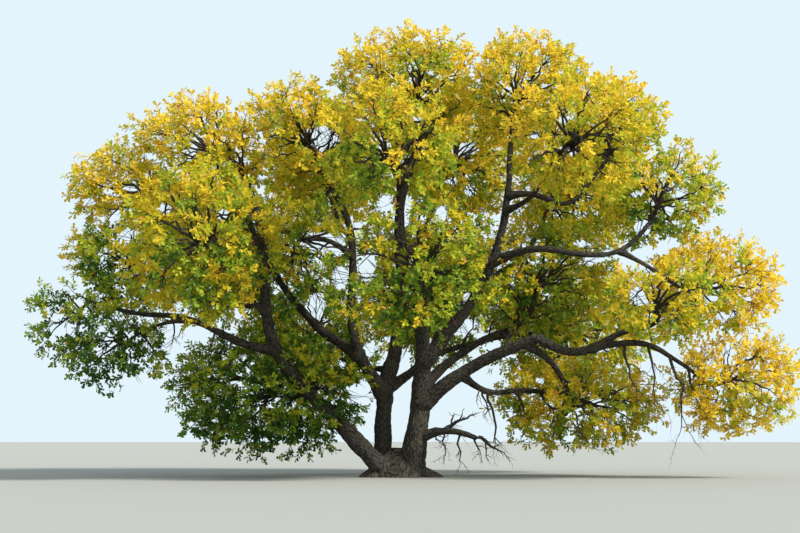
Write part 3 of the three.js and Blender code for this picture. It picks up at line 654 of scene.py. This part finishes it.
def furrowed_bark(look):
    """Old oak bark: long grey-brown plates parted by dark furrows 30 to 60 mm apart, dry and matt, with
    paler lichen on the plates. The colour follows the height of the bark: darker in the furrows, partly the
    bark's own colour and partly painted shade, and paler on the raised edges, partly painted light. Drawn
    about twice as coarse as life, so that it shows."""
    material, tree = blank_material("furrowed_oak_bark")
    place = add_node(tree, "Attribute", {"attribute_name": "bark_place"})
    stretch = add_node(tree, "Mapping", Vector=place.outputs["Vector"], Scale=(1, 1, 0.22))
    bend = add_node(tree, "TexNoise", Vector=stretch.outputs["Vector"], Scale=9.0, Detail=3.0)
    bent = add_node(tree, "Mix", {"data_type": "VECTOR"}, _0=0.06,
                    _4=stretch.outputs["Vector"], _5=bend.outputs["Color"])
    plates = add_node(tree, "TexVoronoi", {"feature": "DISTANCE_TO_EDGE"},
                      Vector=bent.outputs[1], Scale=26.0)
    grain = add_node(tree, "TexNoise", Vector=stretch.outputs["Vector"], Scale=46.0,
                     Detail=5.0, Roughness=0.7)
    height = add_node(tree, "MapRange", {"interpolation_type": "SMOOTHSTEP"},
                      Value=plates.outputs["Distance"], From_Min=0.0, From_Max=0.22)
    relief = add_node(tree, "Math", {"operation": "MULTIPLY_ADD"},
                      _0=grain.outputs["Fac"], _1=0.35, _2=height.outputs["Result"])
    tint = add_node(tree, "ValToRGB", Fac=relief.outputs["Value"])
    # The ramp colours the bark by its height: the dark furrow colour is partly painted shade, the pale ridge
    # colour partly painted light
    set_ramp(tint, (
        (0.12, look.furrow_colour_and_shade), (0.55, look.plate_colour), (1.0, look.ridge_colour_and_light)))
    patches = add_node(tree, "TexNoise", Vector=place.outputs["Vector"], Scale=1.7, Detail=4.0)
    lichen = add_node(tree, "MapRange", Value=patches.outputs["Fac"],
                      From_Min=0.52, From_Max=0.74, To_Max=0.5)
    colour = add_node(tree, "Mix", {"data_type": "RGBA"}, _0=lichen.outputs["Result"],
                      _6=tint.outputs["Color"], _7=look.lichen_colour)
    bump = add_node(tree, "Bump", Height=relief.outputs["Value"], Strength=0.8, Distance=0.014)
    shader = add_node(tree, "BsdfPrincipled", Base_Color=colour.outputs[2], Roughness=0.92,
                      Specular_IOR_Level=0.2, Normal=bump.outputs["Normal"])
    add_node(tree, "OutputMaterial", Surface=shader.outputs["BSDF"])
    return material


def twig_bark(name, colour):
    """Smooth young bark of twigs: plain brown, slightly glossy from its thin skin."""
    material, tree = blank_material(name)
    shader = add_node(tree, "BsdfPrincipled", Base_Color=colour, Roughness=0.8,
                      Specular_IOR_Level=0.3)
    add_node(tree, "OutputMaterial", Surface=shader.outputs["BSDF"])
    return material


def leaf_blade(name, colour, glow):
    """A thin waxy oak leaf in one autumn tint: light shines through it from behind."""
    material, tree = blank_material(name)
    front = add_node(tree, "BsdfPrincipled", Base_Color=colour, Roughness=0.6,
                     Specular_IOR_Level=0.2)
    through = add_node(tree, "BsdfTranslucent", Color=colour)
    both = add_node(tree, "MixShader", _0=glow, _1=front.outputs["BSDF"],
                    _2=through.outputs["BSDF"])
    add_node(tree, "OutputMaterial", Surface=both.outputs["Shader"])
    return material


# Growth

def spread_directions(count):
    """Directions spread evenly over a ball."""
    index = np.arange(count)
    height = 1 - (2 * index + 1) / count
    ring = np.sqrt(1 - height ** 2)
    angle = index * GOLDEN_ANGLE
    return np.stack((ring * np.cos(angle), ring * np.sin(angle), height), 1)


CENTRES = np.array([row[2] for row in MASSES]) * MM
HALVES = np.array([row[3] for row in MASSES]) * MM


def in_own_space(index, points, edge=1.0):
    """Whether points lie in a mass's own space: inside it and further into it than into any other."""
    depths = lengths_of((points[:, None] - CENTRES) / HALVES)
    own = depths[:, index].copy()
    depths[:, index] = np.inf
    return (own < edge) & (own + SPACE_MARGIN < depths.min(1))


def near_solids(points, margin):
    """Whether points lie in the box of the solids, made larger by a margin."""
    lowest, highest = (np.array(corner) for corner in SOLID_BOX)
    return ((points > lowest - margin) & (points < highest + margin)).all(1)


def bezier(start, pull, end, share):
    """Points of curves of three corners."""
    return start * (1 - share) ** 2 + pull * 2 * share * (1 - share) + end * share ** 2


@functools.lru_cache(maxsize=None)
def mass_stem(index):
    """A mass's stem: from its bough's tip, in the bough's direction, then to the middle."""
    line = LINES[MASSES[index][1]]
    along = line.along(1)[0]
    foot = line.at(1)[0] + along * GAP
    end = foot + (CENTRES[index] - foot) * STEM_REACH
    pull = foot + along * lengths_of(end - foot) / 2
    shares = np.linspace(0, 1, STEM_POINTS)
    radii = line.radii[1] * (1 + (STEM_TIP_SHARE - 1) * shares ** TAPER_POWER)
    return bezier(foot, pull, end, shares[:, None]), radii


@functools.lru_cache(maxsize=None)
def stretches():
    """Straight stretches of every limb and every mass's stem: starts, ends, radii and owners."""
    rows = []
    for line in LINES.values():
        shares = np.linspace(0, 1, max(3, round(line.length / STRETCH)) + 1)
        points = line.at(shares)
        rows.append((points[:-1], points[1:], line.radius(shares)[:-1], np.full(len(points) - 1, -1)))
    for index in range(len(MASSES)):
        points, widths = mass_stem(index)
        starts = points[:-1:3]
        rows.append((starts, points[3::3], widths[:-1:3], np.full(len(starts), index)))
    return tuple(np.concatenate(part) for part in zip(*rows))


def clear_of_limbs(index, points, clearance):
    """Whether points keep a clearance from every limb and every other mass's stem."""
    starts, ends, radii, owners = stretches()
    others = owners != index
    starts, ends, radii = starts[others], ends[others], radii[others]
    near = np.abs(starts - CENTRES[index]).max(1) < HALVES[index].max() + NEARBY
    starts, ends, radii = starts[near], ends[near], radii[near]
    runs = ends - starts
    off = points[:, None] - starts[None]
    share = np.clip((off * runs).sum(2) / (runs ** 2).sum(1), 0, 1)
    gaps = lengths_of(off - runs * share[..., None]) - radii
    return gaps.min(1) > clearance


def on_trunk_plane(points):
    """Where points show on the upright plane of the trunk, seen from the front: x, z and scale."""
    scale = -SEEN_FROM[1] / (points[:, 1] - SEEN_FROM[1])
    x, z = (SEEN_FROM[axis] + (points[:, axis] - SEEN_FROM[axis]) * scale for axis in (0, 2))
    return np.stack((x, z), 1), scale


@functools.lru_cache(maxsize=None)
def showing_wood():
    """Samples of the wood that shows: place on the trunk plane, radius, depth and clearness."""
    rows = []
    for name, start, end, clearness in SHOWING:
        line = LINES[name]
        shares = np.linspace(start, end, max(2, round(line.length * (end - start) / SHOWING_STEP)))
        points = crooked(line, shares)
        rows.append((points, line.radius(shares), np.full(len(points), clearness)))
    for index, row in enumerate(MASSES):
        if row[0] in SHOWING_MASSES:
            branches = grow_branches(index)
            nearer = branches[branches[:, -1, 1] < CENTRES[index, 1]][::2]
            points = nearer.reshape(-1, 3)
            rows.append((points, np.zeros(len(points)), np.full(len(points), BRANCH_CLEARNESS)))
    points, radii, clearness = (np.concatenate(part) for part in zip(*rows))
    flat, scale = on_trunk_plane(points)
    return np.column_stack((flat, radii * scale, points[:, 1], clearness))


def clear_of_sky(points, sizes):
    """Whether points stay out of the lines of sight that are open to the sky, made sizes as wide."""
    flat, _ = on_trunk_plane(points)
    free = np.ones(len(points), bool)
    for x, z, wide, high in SKY_GAPS:
        free &= np.hypot((flat[:, 0] - x) / wide, (flat[:, 1] - z) / high) > sizes
    return free


def clear_of_view(points, luck, margin):
    """Whether points stay a margin out of the lines of sight to the wood that shows."""
    flat, _ = on_trunk_plane(points)
    wood = showing_wood()
    free = np.ones(len(points), bool)
    for start in range(0, len(points), SIGHT_LOT):
        lot = slice(start, start + SIGHT_LOT)
        gaps = lengths_of(flat[lot, None] - wood[:, :2]) - wood[:, 2]
        before = points[lot, 1, None] < wood[:, 3]
        kept_open = luck[lot, None] < wood[:, 4]
        free[lot] = ~((gaps < margin) & before & kept_open).any(1)
    return free


def square_to(directions, helper):
    """Two directions square to each given one."""
    first = unit(np.cross(directions, helper))
    return first, np.cross(directions, first)


def line_points(lines, shares):
    """A point on each line of points, one share for each."""
    spots = shares * (lines.shape[1] - 1)
    lows = np.minimum(spots.astype(int), lines.shape[1] - 2)
    rows = np.arange(len(lines))
    part = (spots - lows)[:, None]
    return lines[rows, lows] * (1 - part) + lines[rows, lows + 1] * part


def drawn_in(index, feet, ends):
    """Ends drawn back towards their feet until they lie in their own space, clear of the limbs."""
    for _ in range(DRAW_STEPS):
        good = in_own_space(index, ends) & clear_of_limbs(index, ends, LIMB_CLEARANCE)
        good &= clear_of_limbs(index, (feet + ends) / 2, LIMB_CLEARANCE)
        ends = np.where(good[:, None], ends, feet + (ends - feet) * DRAW_SHARE)
    good &= lengths_of(ends - feet) > BRANCH_SHORTEST
    return feet[good], ends[good]


@functools.lru_cache(maxsize=None)
def grow_branches(index):
    """Crooked branches from a mass's stem to points spread evenly through its space, as points."""
    draws = np.random.default_rng(SEED + index)
    centre, half = CENTRES[index], HALVES[index]
    stem, _ = mass_stem(index)
    count = round(BRANCH_DENSITY * np.prod(half) ** (2 / 3))
    turn = draws.uniform(0, 2 * np.pi)
    spin = np.array(((math.cos(turn), -math.sin(turn), 0), (math.sin(turn), math.cos(turn), 0), (0, 0, 1)))
    directions = spread_directions(count) @ spin.T
    ends = centre + directions * half * BRANCH_REACH * draws.uniform(*BRANCH_SPREAD, (count, 1))
    run = stem[-1] - stem[0]
    shares = ((ends - stem[0]) @ run) / (run @ run) - BRANCH_BACK + draws.uniform(-0.1, 0.1, count)
    feet = line_points(np.tile(stem, (count, 1, 1)), np.clip(shares, 0.12, 1))
    feet, ends = drawn_in(index, feet, ends)
    lengths = lengths_of(ends - feet)
    pulls = (feet + ends) / 2 + draws.normal(0, BRANCH_BEND, feet.shape) * lengths[:, None]
    pulls[:, 2] += BRANCH_RISE * lengths
    shares = np.linspace(0, 1, BRANCH_POINTS)
    lines = bezier(feet[:, None], pulls[:, None], ends[:, None], shares[:, None])
    crooks = draws.normal(0, BRANCH_CROOK, lines.shape) * lengths[:, None, None]
    return lines + crooks * np.sqrt(np.sin(np.pi * shares))[None, :, None]


def grow_sprigs(index, branches, draws):
    """Sprigs to points that fill a mass's own space evenly, each from the branch nearest to its end."""
    centre, half = CENTRES[index], HALVES[index]
    count = round(SPRIG_DENSITY * np.prod(half * 2))
    spots = (0.5 + np.arange(1, count + 1)[:, None] * EVEN_STEPS) % 1
    ends = centre + half * (2 * spots - 1) + draws.normal(0, SPRIG_SCATTER, (count, 3))
    depth = lengths_of((ends - centre) / half)
    good = (depth < EDGE) & in_own_space(index, ends) & clear_of_limbs(index, ends, LIMB_CLEARANCE)
    kept = np.clip(INNER_SHARE + (depth - INNER_DEPTH) * OUTER_GAIN, INNER_SHARE, 1)
    good &= (draws.uniform(0, 1, count) < kept) & near_solids(ends, 0)
    ends = ends[good]
    samples = branches[:, 1:].reshape(-1, 3)
    nearest = np.argmin(lengths_of(ends[:, None] - samples), axis=1)
    branch, step = np.divmod(nearest, BRANCH_POINTS - 1)
    gap = lengths_of(ends - samples[nearest])
    place = (step + 1) / (BRANCH_POINTS - 1)
    place = np.clip(place - 0.4 * gap / lengths_of(branches[:, -1] - branches[:, 0])[branch], 0.05, 1)
    feet = line_points(branches[branch], place)
    ahead = unit(line_points(branches[branch], np.minimum(place + 0.1, 1.1)) - feet)
    reach = lengths_of(ends - feet)
    good = (reach > SPRIG_SHORTEST) & (reach < SPRIG_LONGEST)
    good &= clear_of_limbs(index, (feet + ends) / 2, 0.01)
    feet, ends, ahead, reach = feet[good], ends[good], ahead[good], reach[good, None]
    scatter = draws.normal(0, SPRIG_SCATTER, feet.shape)
    return feet, (feet + ends) / 2 + ahead * (SPRIG_BEND * reach) + scatter * reach, ends


def spaced(first, each, count):
    """Shares of a length from a first one to its end, for each of a count of owners."""
    return np.tile(first + (1 - first) * np.arange(each) / (each - 1), count)


def fanned(ahead, each, fan, draws):
    """Ways that fan out in turn round each given one, the last of them nearly straight on."""
    least, most, side_lean, last_lean, lift = fan
    count = len(ahead)
    order = np.tile(np.arange(each), count)
    ahead = np.repeat(ahead, each, axis=0)
    side, rise = square_to(ahead, UP)
    angle = order * GOLDEN_ANGLE + np.repeat(draws.uniform(0, FULL_TURN, count), each)
    lean = np.where(order == each - 1, last_lean, side_lean) * draws.uniform(least, most, len(order))
    ways = ahead + side * (lean * np.cos(angle))[:, None] + rise * (lean * np.sin(angle))[:, None]
    ways[:, 2] += lift
    return unit(ways)


def grow_twigs(index, sprigs, draws):
    """Twigs from the outer part of every sprig, out of the open lines of sight."""
    starts, pulls, tips = sprigs
    count = len(starts)
    sprig = np.repeat(np.arange(count), TWIGS_PER_SPRIG)
    place = spaced(FIRST_TWIG, TWIGS_PER_SPRIG, count)
    feet = bezier(starts[sprig], pulls[sprig], tips[sprig], place[:, None])
    ways = fanned(unit(tips - pulls), TWIGS_PER_SPRIG, TWIG_FAN, draws)
    ends = feet + ways * draws.uniform(*TWIG_LENGTHS, len(ways))[:, None]
    luck = draws.uniform(0, 1, count)[sprig]
    good = in_own_space(index, ends, 1.03) & clear_of_limbs(index, ends, 0.03)
    good &= clear_of_sky(ends, 0.75 + 0.5 * luck) & clear_of_view(ends, luck, SHOWING_MARGIN)
    good &= near_solids(ends, PROUD)
    return feet[good], ends[good], ways[good], sprig[good], luck[good]


def grow_leaves(index, twigs, sprig_ends, draws):
    """Leaves round every twig, thickest at its tip, facing up and outward, each with its tone: how far it
    has turned, and partly painted light, paler outward and upward and darker inward as painted shade.
    """
    centre, half = CENTRES[index], HALVES[index]
    feet, ends, twig_ways, sprig, twig_luck = twigs
    count = len(feet)
    twig = np.repeat(np.arange(count), LEAVES_PER_TWIG)
    bases = feet[twig] + (ends - feet)[twig] * spaced(FIRST_LEAF, LEAVES_PER_TWIG, count)[:, None]
    ways = fanned(twig_ways, LEAVES_PER_TWIG, LEAF_FAN, draws)
    number = len(ways)
    outward = unit((bases - centre) / half)
    faces = 0.75 * UP + 0.45 * outward + draws.normal(0, 0.5, bases.shape)
    faces = unit(faces - ways * (faces * ways).sum(1)[:, None])
    sizes = draws.uniform(*LEAF_SIZES, number)
    depth = lengths_of((bases - centre) / half)
    patch = np.array([noise.noise(Vector(spot) * PATCHES_PER_METRE) for spot in sprig_ends])[sprig][twig]
    luck = draws.normal(0, 1, len(sprig_ends))[sprig][twig]
    # Tone: how far the leaf has turned, and partly painted light: outer and higher leaves paler gold, inner
    # and lower leaves darker green as painted shade
    tone = MASSES[index][4] + PATCH_TINT * patch + OUTWARD_TINT_AND_LIGHT * (depth - 0.8) + SPRAY_TINT * luck
    tone += UPWARD_TINT_AND_LIGHT * (bases[:, 2] - centre[2]) / half[2] + draws.normal(0, LEAF_TINT, number)
    rare = draws.uniform(0, 1, number)
    middles = bases + ways * 0.07
    good = clear_of_limbs(index, middles, 0.02)
    good &= clear_of_sky(middles, draws.uniform(0.85, 1.05, number))
    good &= clear_of_view(middles, twig_luck[twig], LEAF_MARGIN)
    return tuple(part[good] for part in (bases, ways, faces, sizes, tone, rare))


@functools.lru_cache(maxsize=None)
def grown(index):
    """Everything that grows in one mass, each kind as arrays."""
    draws = np.random.default_rng(SEED + len(MASSES) + index)
    branches = grow_branches(index)
    sprigs = grow_sprigs(index, branches, draws)
    twigs = grow_twigs(index, sprigs, draws)
    leaves = grow_leaves(index, twigs, sprigs[2], draws)
    return {"branches": branches, "sprigs": sprigs, "twigs": twigs, "leaves": leaves}


def mesh_from_arrays(name, points, loops, starts, finishes):
    """A mesh from arrays of points, corner numbers, first corners and finish numbers."""
    mesh = bpy.data.meshes.new(name)
    mesh.vertices.add(len(points))
    mesh.vertices.foreach_set("co", points.astype(np.float32).ravel())
    mesh.loops.add(len(loops))
    mesh.loops.foreach_set("vertex_index", loops.astype(np.int32))
    mesh.polygons.add(len(starts))
    mesh.polygons.foreach_set("loop_start", starts.astype(np.int32))
    mesh.polygons.foreach_set("material_index", finishes.astype(np.int32))
    mesh.update(calc_edges=True)
    return mesh


def tapered(curves, radii, sides):
    """Closed tubes that taper to a point, along curves given as rows of points: points and faces."""
    number, rings = curves.shape[:2]
    side, rise = square_to(unit(curves[:, -1] - curves[:, 0]), np.array((0.31, 0.17, 0.93)))
    angle = np.arange(sides)[:, None] / sides * 2 * np.pi
    circle = side[:, None] * np.cos(angle) + rise[:, None] * np.sin(angle)
    rows = curves[:, :-1, None] + circle[:, None] * radii[:, :, None, None]
    points = np.concatenate((rows.reshape(number, -1, 3), curves[:, -1:]), 1)
    around = [(corner, (corner + 1) % sides) for corner in range(sides)]
    faces = []
    for low in range(0, (rings - 2) * sides, sides):
        high = low + sides
        faces += [(low + here, low + after, high + after, high + here) for here, after in around]
    last = (rings - 2) * sides
    faces += [(last + here, last + after, last + sides) for here, after in around]
    faces.append(range(sides)[::-1])
    loops = np.array([corner for face in faces for corner in face])
    loops = loops + np.arange(number)[:, None] * points.shape[1]
    return points.reshape(-1, 3), loops.ravel(), np.tile([len(face) for face in faces], number)


def wood_of(name, parts, rough):
    """A mesh of several lots of tubes, the first ones in the first finish and the rest in the second."""
    points, loops, sizes, shift = [], [], [], 0
    for part_points, part_loops, part_sizes in parts:
        points.append(part_points)
        loops.append(part_loops + shift)
        sizes.append(part_sizes)
        shift += len(part_points)
    finishes = np.repeat((0, 1), (sum(map(len, sizes[:rough])), sum(map(len, sizes[rough:]))))
    starts = np.concatenate(([0], np.cumsum(np.concatenate(sizes))[:-1]))
    return mesh_from_arrays(name, np.concatenate(points), np.concatenate(loops), starts, finishes)


def wood_mesh(index):
    """Stem, branches, sprigs and twigs of one mass."""
    grow = grown(index)
    stem, radii = mass_stem(index)
    branches = grow["branches"]
    corners = (corner[:, None] for corner in grow["sprigs"])
    sprigs = bezier(*corners, np.linspace(0, 1, SPRIG_POINTS)[:, None])
    twigs = np.stack(grow["twigs"][:2], 1)
    lengths = lengths_of(branches[:, -1] - branches[:, 0])
    branch_radii = np.clip(0.018 + 0.018 * lengths, 0.024, 0.06)
    sprig_radii = 0.008 + 0.006 * lengths_of(sprigs[:, -1] - sprigs[:, 0])
    parts = (
        tapered(stem[None], radii[None, :-1], 8),
        tapered(branches, branch_radii[:, None] * np.linspace(1, 0.35, BRANCH_POINTS - 1), 5),
        tapered(sprigs, sprig_radii[:, None] * np.linspace(1, 0.55, SPRIG_POINTS - 1), 3),
        tapered(twigs, np.full((len(twigs), 1), TWIG_RADIUS), 3),
    )
    return wood_of(MASSES[index][0] + "_twigs", parts, 2)


def bare_twigs():
    """Dead twigs that leave the limbs: crooked, and forked by one rule at each level."""
    draws = np.random.default_rng(SEED)
    names, places, ways, lengths, radii = zip(*BARE_TWIGS)
    feet = np.array([LINES[name].at(place)[0] for name, place in zip(names, places)])
    ways, lengths, radii = unit(np.array(ways, float)), np.array(lengths), np.array(radii)
    shares = np.linspace(0, 1, BARE_POINTS)
    parts = []
    for level in range(FORK_LEVELS):
        lines = feet[:, None] + ways[:, None] * (lengths[:, None] * shares)[..., None]
        bends = np.cumsum(draws.normal(0, BARE_CROOK, lines.shape), axis=1) * lengths[:, None, None]
        lines += bends - bends[:, :1]
        lines[..., 2] = np.maximum(lines[..., 2], BARE_LOWEST)
        taper = radii[:, None] * np.linspace(1, BARE_TIP_SHARE, BARE_POINTS - 1)
        parts.append(tapered(lines, taper, 6 if level == 0 else 4))
        owners = np.repeat(np.arange(len(lines)), len(FORK_SHARES))
        forks = np.tile(FORK_SHARES, len(lines)) + draws.uniform(-FORK_SCATTER, FORK_SCATTER, len(owners))
        feet = line_points(lines[owners], forks)
        ways = unit(ways[owners] + draws.normal(0, FORK_SPREAD, (len(owners), 3)))
        lengths = lengths[owners] * FORK_SHORTENING * draws.uniform(*FORK_LENGTHS, len(owners))
        radii = np.maximum(radii[owners] * (1 - 0.7 * forks) * 0.6, THINNEST_FORK)
    return wood_of("bare_twigs", parts, 1)


def leaf_mesh(index, look):
    """Leaves of one mass: each is two halves that meet at an angle along the midrib."""
    bases, ways, faces, sizes, tone, rare = grown(index)["leaves"]
    sides = np.cross(faces, ways)
    lengths = (sizes * look.leaf_length)[:, None]
    fold = look.fold
    corners = [bases, bases + ways * lengths]
    for hand in (1, -1):
        leaf_side = sides * (hand * math.cos(fold)) + faces * math.sin(fold)
        for far, out in LEAF_OUTLINE:
            corners.append(bases + (ways * far + leaf_side * out * look.leaf_width) * lengths)
    points = np.stack(corners, 1).reshape(-1, 3)
    pattern = np.array((0, 1, 4, 3, 2, 0, 5, 6, 7, 1))
    loops = (pattern[None] + (np.arange(len(bases)) * 8)[:, None]).ravel()
    starts = np.arange(len(bases) * 2) * 5
    tint = np.clip((tone * TINT_STEPS).astype(int), 0, TINT_STEPS - 1)
    tint = np.where((rare > RUST_FROM) & (tint > 2), TINT_STEPS, tint)
    return mesh_from_arrays(MASSES[index][0] + "_leaves", points, loops, starts, np.repeat(tint, 2))


def colour_setting(name, description, code):
    """A colour that a user can change, with its default."""
    return bpy.props.FloatVectorProperty(
        name=name, description=description, subtype="COLOR", size=4, min=0, max=1, default=linear(code))


def length_setting(name, description, metres):
    """A length that a user can change, with its default."""
    return bpy.props.FloatProperty(name=name, description=description, default=metres, unit="LENGTH")


def number_setting(name, description, number):
    """A number that a user can change, with its default."""
    return bpy.props.FloatProperty(name=name, description=description, default=number)


class OakBarkSettings(bpy.types.PropertyGroup):
    """Looks of the bark on the foot, stems and boughs"""

    # Furrow colour: partly the bark's own colour, partly painted shade deep in the furrows
    furrow_colour_and_shade: colour_setting("Furrows", "Colour deep between the plates of bark", "131210")
    plate_colour: colour_setting("Plates", "Colour of the plates of bark", "2a2723")
    # Ridge colour: paler on the raised edges of the plates, partly painted light
    ridge_colour_and_light: colour_setting("Ridges", "Colour of the raised edges of the plates", "443f38")
    lichen_colour: colour_setting("Lichen", "Colour of the lichen on the plates", "45432f")
    depth: length_setting("Relief", "Height of the plates over the furrows", 0.022)
    stem_grain: length_setting("Stem faces", "Size of the faces on the foot and stems", 0.024)
    bough_grain: length_setting("Bough faces", "Size of the faces on the boughs", 0.032)


class OakLeafSettings(bpy.types.PropertyGroup):
    """Sizes and tints of the leaves and twigs"""

    leaf_length: length_setting("Leaf length", "Length of a middling leaf", 0.146)
    leaf_width: number_setting("Leaf width", "Width of a leaf beside its usual width", 1.35)
    fold: number_setting("Fold", "Angle that each half stands up from flat, in radians", 0.4)
    glow: number_setting("Glow", "Share of light that shines through a leaf", 0.5)
    branch_colour: colour_setting("Branches", "Colour of the bark of branches", "2f2a24")
    twig_colour: colour_setting("Twigs", "Colour of the bark of twigs", "453828")
    # The tints step from a dark green to a pale gold, so leaves deep inside are darker partly as painted
    # shade and outer leaves paler partly as painted light
    deep_green: colour_setting("Deep green", "Leaves in the shade that have not turned", "3a5c1c")
    mid_green: colour_setting("Green", "Leaves that have not turned", "62842a")
    olive_green: colour_setting("Olive green", "Leaves that begin to turn", "8a9e2a")
    yellow_green: colour_setting("Yellow green", "Leaves a third turned", "aeb630")
    olive_gold: colour_setting("Olive gold", "Leaves half turned", "c6b62a")
    gold: colour_setting("Gold", "Leaves that have turned", "d6b82a")
    bright_gold: colour_setting("Bright gold", "Outer leaves in full colour", "e7c836")
    rust: colour_setting("Rust", "The few leaves about to fall", "c68c2c")


class OakStageSettings(bpy.types.PropertyGroup):
    """Floor, light and camera"""

    floor_colour: colour_setting("Floor", "Colour of the floor", "888883")
    sky_colour: colour_setting("Surround", "Colour of the light from all round", "dcecf4")
    sky_strength: number_setting("Surround light", "Strength of it", 1.08)
    key_strength: number_setting("Key light", "Strength of it", 6.7)
    fill_strength: number_setting("Fill light", "Strength of it", 1.2)
    lens: number_setting("Lens", "Focal length of the camera, in millimetres", 80.0)
    tilt: number_setting("Tilt", "Angle of the camera from straight down, in degrees", 95.38)


class OAK_OT_dress_limbs(bpy.types.Operator):
    """Grows furrowed bark over the foot, the stems and the boughs"""

    bl_idname = "oak.dress_limbs"
    bl_label = "Dress Limbs"

    def execute(self, context):
        look = context.scene.oak_bark
        bark = furrowed_bark(look)
        boughs = tuple(name for name in LINES if name not in STEM_NAMES)
        for piece, names, sides, grain in (
                ("stem_bark", STEM_NAMES, STEM_SIDES, look.stem_grain),
                ("bough_bark", boughs, BOUGH_SIDES, look.bough_grain)):
            with_foot = names is STEM_NAMES
            bm = bmesh.new()
            if with_foot:
                extrude_foot(bm)
            for name in names:
                extrude_limb(bm, LINES[name], sides)
            skin = joined_skin(piece, bm, grain)
            roughen(skin, names, look.depth)
            if with_foot:
                cut_at_ground(skin)
            skin.shade_smooth()
            shown(piece, skin, [bark], ("trunk",) * with_foot + names)
        return {"FINISHED"}


class OAK_OT_grow_twigs(bpy.types.Operator):
    """Grows the branches, sprigs and twigs of every mass of foliage"""

    bl_idname = "oak.grow_twigs"
    bl_label = "Grow Twigs"

    def execute(self, context):
        look = context.scene.oak_leaves
        finishes = [twig_bark("branch_bark", look.branch_colour), twig_bark("twig_bark", look.twig_colour)]
        for index, row in enumerate(MASSES):
            shown(row[0] + "_twigs", wood_mesh(index), finishes, (row[0] + "_foliage",))
        shown("bare_twigs", bare_twigs(), finishes, ())
        return {"FINISHED"}


class OAK_OT_grow_leaves(bpy.types.Operator):
    """Grows the leaves of every mass of foliage, tinted spray by spray"""

    bl_idname = "oak.grow_leaves"
    bl_label = "Grow Leaves"

    def execute(self, context):
        look = context.scene.oak_leaves
        names = ("deep_green", "mid_green", "olive_green", "yellow_green", "olive_gold", "gold",
                 "bright_gold", "rust")
        blades = [leaf_blade("leaf_" + name, getattr(look, name), look.glow) for name in names]
        for index, row in enumerate(MASSES):
            shown(row[0] + "_leaves", leaf_mesh(index, look), blades, (row[0] + "_foliage",))
        return {"FINISHED"}


class OAK_OT_set_stage(bpy.types.Operator):
    """Lays the floor and sets the light and the camera"""

    bl_idname = "oak.set_stage"
    bl_label = "Set Stage"

    def execute(self, context):
        look = context.scene.oak_stage
        bm = bmesh.new()
        bmesh.ops.create_circle(bm, cap_ends=True, segments=96, radius=220)
        floor_mesh = bpy.data.meshes.new("floor")
        bm.to_mesh(floor_mesh)
        bm.free()
        material, tree = blank_material("pale_floor")
        shader = add_node(tree, "BsdfPrincipled", Base_Color=look.floor_colour, Roughness=0.9)
        add_node(tree, "OutputMaterial", Surface=shader.outputs["BSDF"])
        floor_mesh.materials.append(material)
        placed("floor", floor_mesh)
        world = bpy.data.worlds.new("studio")
        world.use_nodes = True
        background = world.node_tree.nodes["Background"].inputs
        background["Color"].default_value = look.sky_colour
        background["Strength"].default_value = look.sky_strength
        context.scene.world = world
        for name, strength, spread, way in (
                ("key", look.key_strength, 12, (0.95, -0.5, 0.95)),
                ("fill", look.fill_strength, 60, (0.35, -1.0, 0.1))):
            light = bpy.data.lights.new(name, "SUN")
            light.energy = strength
            light.angle = math.radians(spread)
            light.color = (1.0, 0.97, 0.9)
            lamp = placed(name, light)
            lamp.rotation_mode = "QUATERNION"
            lamp.rotation_quaternion = Vector(way).to_track_quat("Z", "Y")
        camera_data = bpy.data.cameras.new("camera")
        camera_data.lens = look.lens
        camera_data.sensor_width = 36
        camera_data.clip_end = 600
        camera = placed("camera", camera_data)
        camera.location = SEEN_FROM
        camera.rotation_euler = (math.radians(look.tilt), 0, 0)
        context.scene.camera = camera
        context.scene.view_settings.view_transform = "Standard"
        return {"FINISHED"}


class OAK_PT_sidebar(bpy.types.Panel):
    """Lists the steps that model the oak"""

    bl_idname = "OAK_PT_sidebar"
    bl_label = "Oak"
    bl_space_type = "VIEW_3D"
    bl_region_type = "UI"
    bl_category = "Oak"

    def draw(self, context):
        for step in (OAK_OT_dress_limbs, OAK_OT_grow_twigs, OAK_OT_grow_leaves, OAK_OT_set_stage):
            self.layout.operator(step.bl_idname)


CLASSES = (
    OakBarkSettings, OakLeafSettings, OakStageSettings, OAK_OT_dress_limbs, OAK_OT_grow_twigs,
    OAK_OT_grow_leaves, OAK_OT_set_stage, OAK_PT_sidebar,
)
SETTINGS = {"oak_bark": OakBarkSettings, "oak_leaves": OakLeafSettings, "oak_stage": OakStageSettings}


def register():
    for entry in CLASSES:
        bpy.utils.register_class(entry)
    for name, group in SETTINGS.items():
        setattr(bpy.types.Scene, name, bpy.props.PointerProperty(type=group))


def unregister():
    for name in SETTINGS:
        delattr(bpy.types.Scene, name)
    for entry in reversed(CLASSES):
        bpy.utils.unregister_class(entry)


def main():
    register()
    bpy.ops.oak.dress_limbs()
    bpy.ops.oak.grow_twigs()
    bpy.ops.oak.grow_leaves()
    bpy.ops.oak.set_stage()


if __name__ == "__main__":
    main()
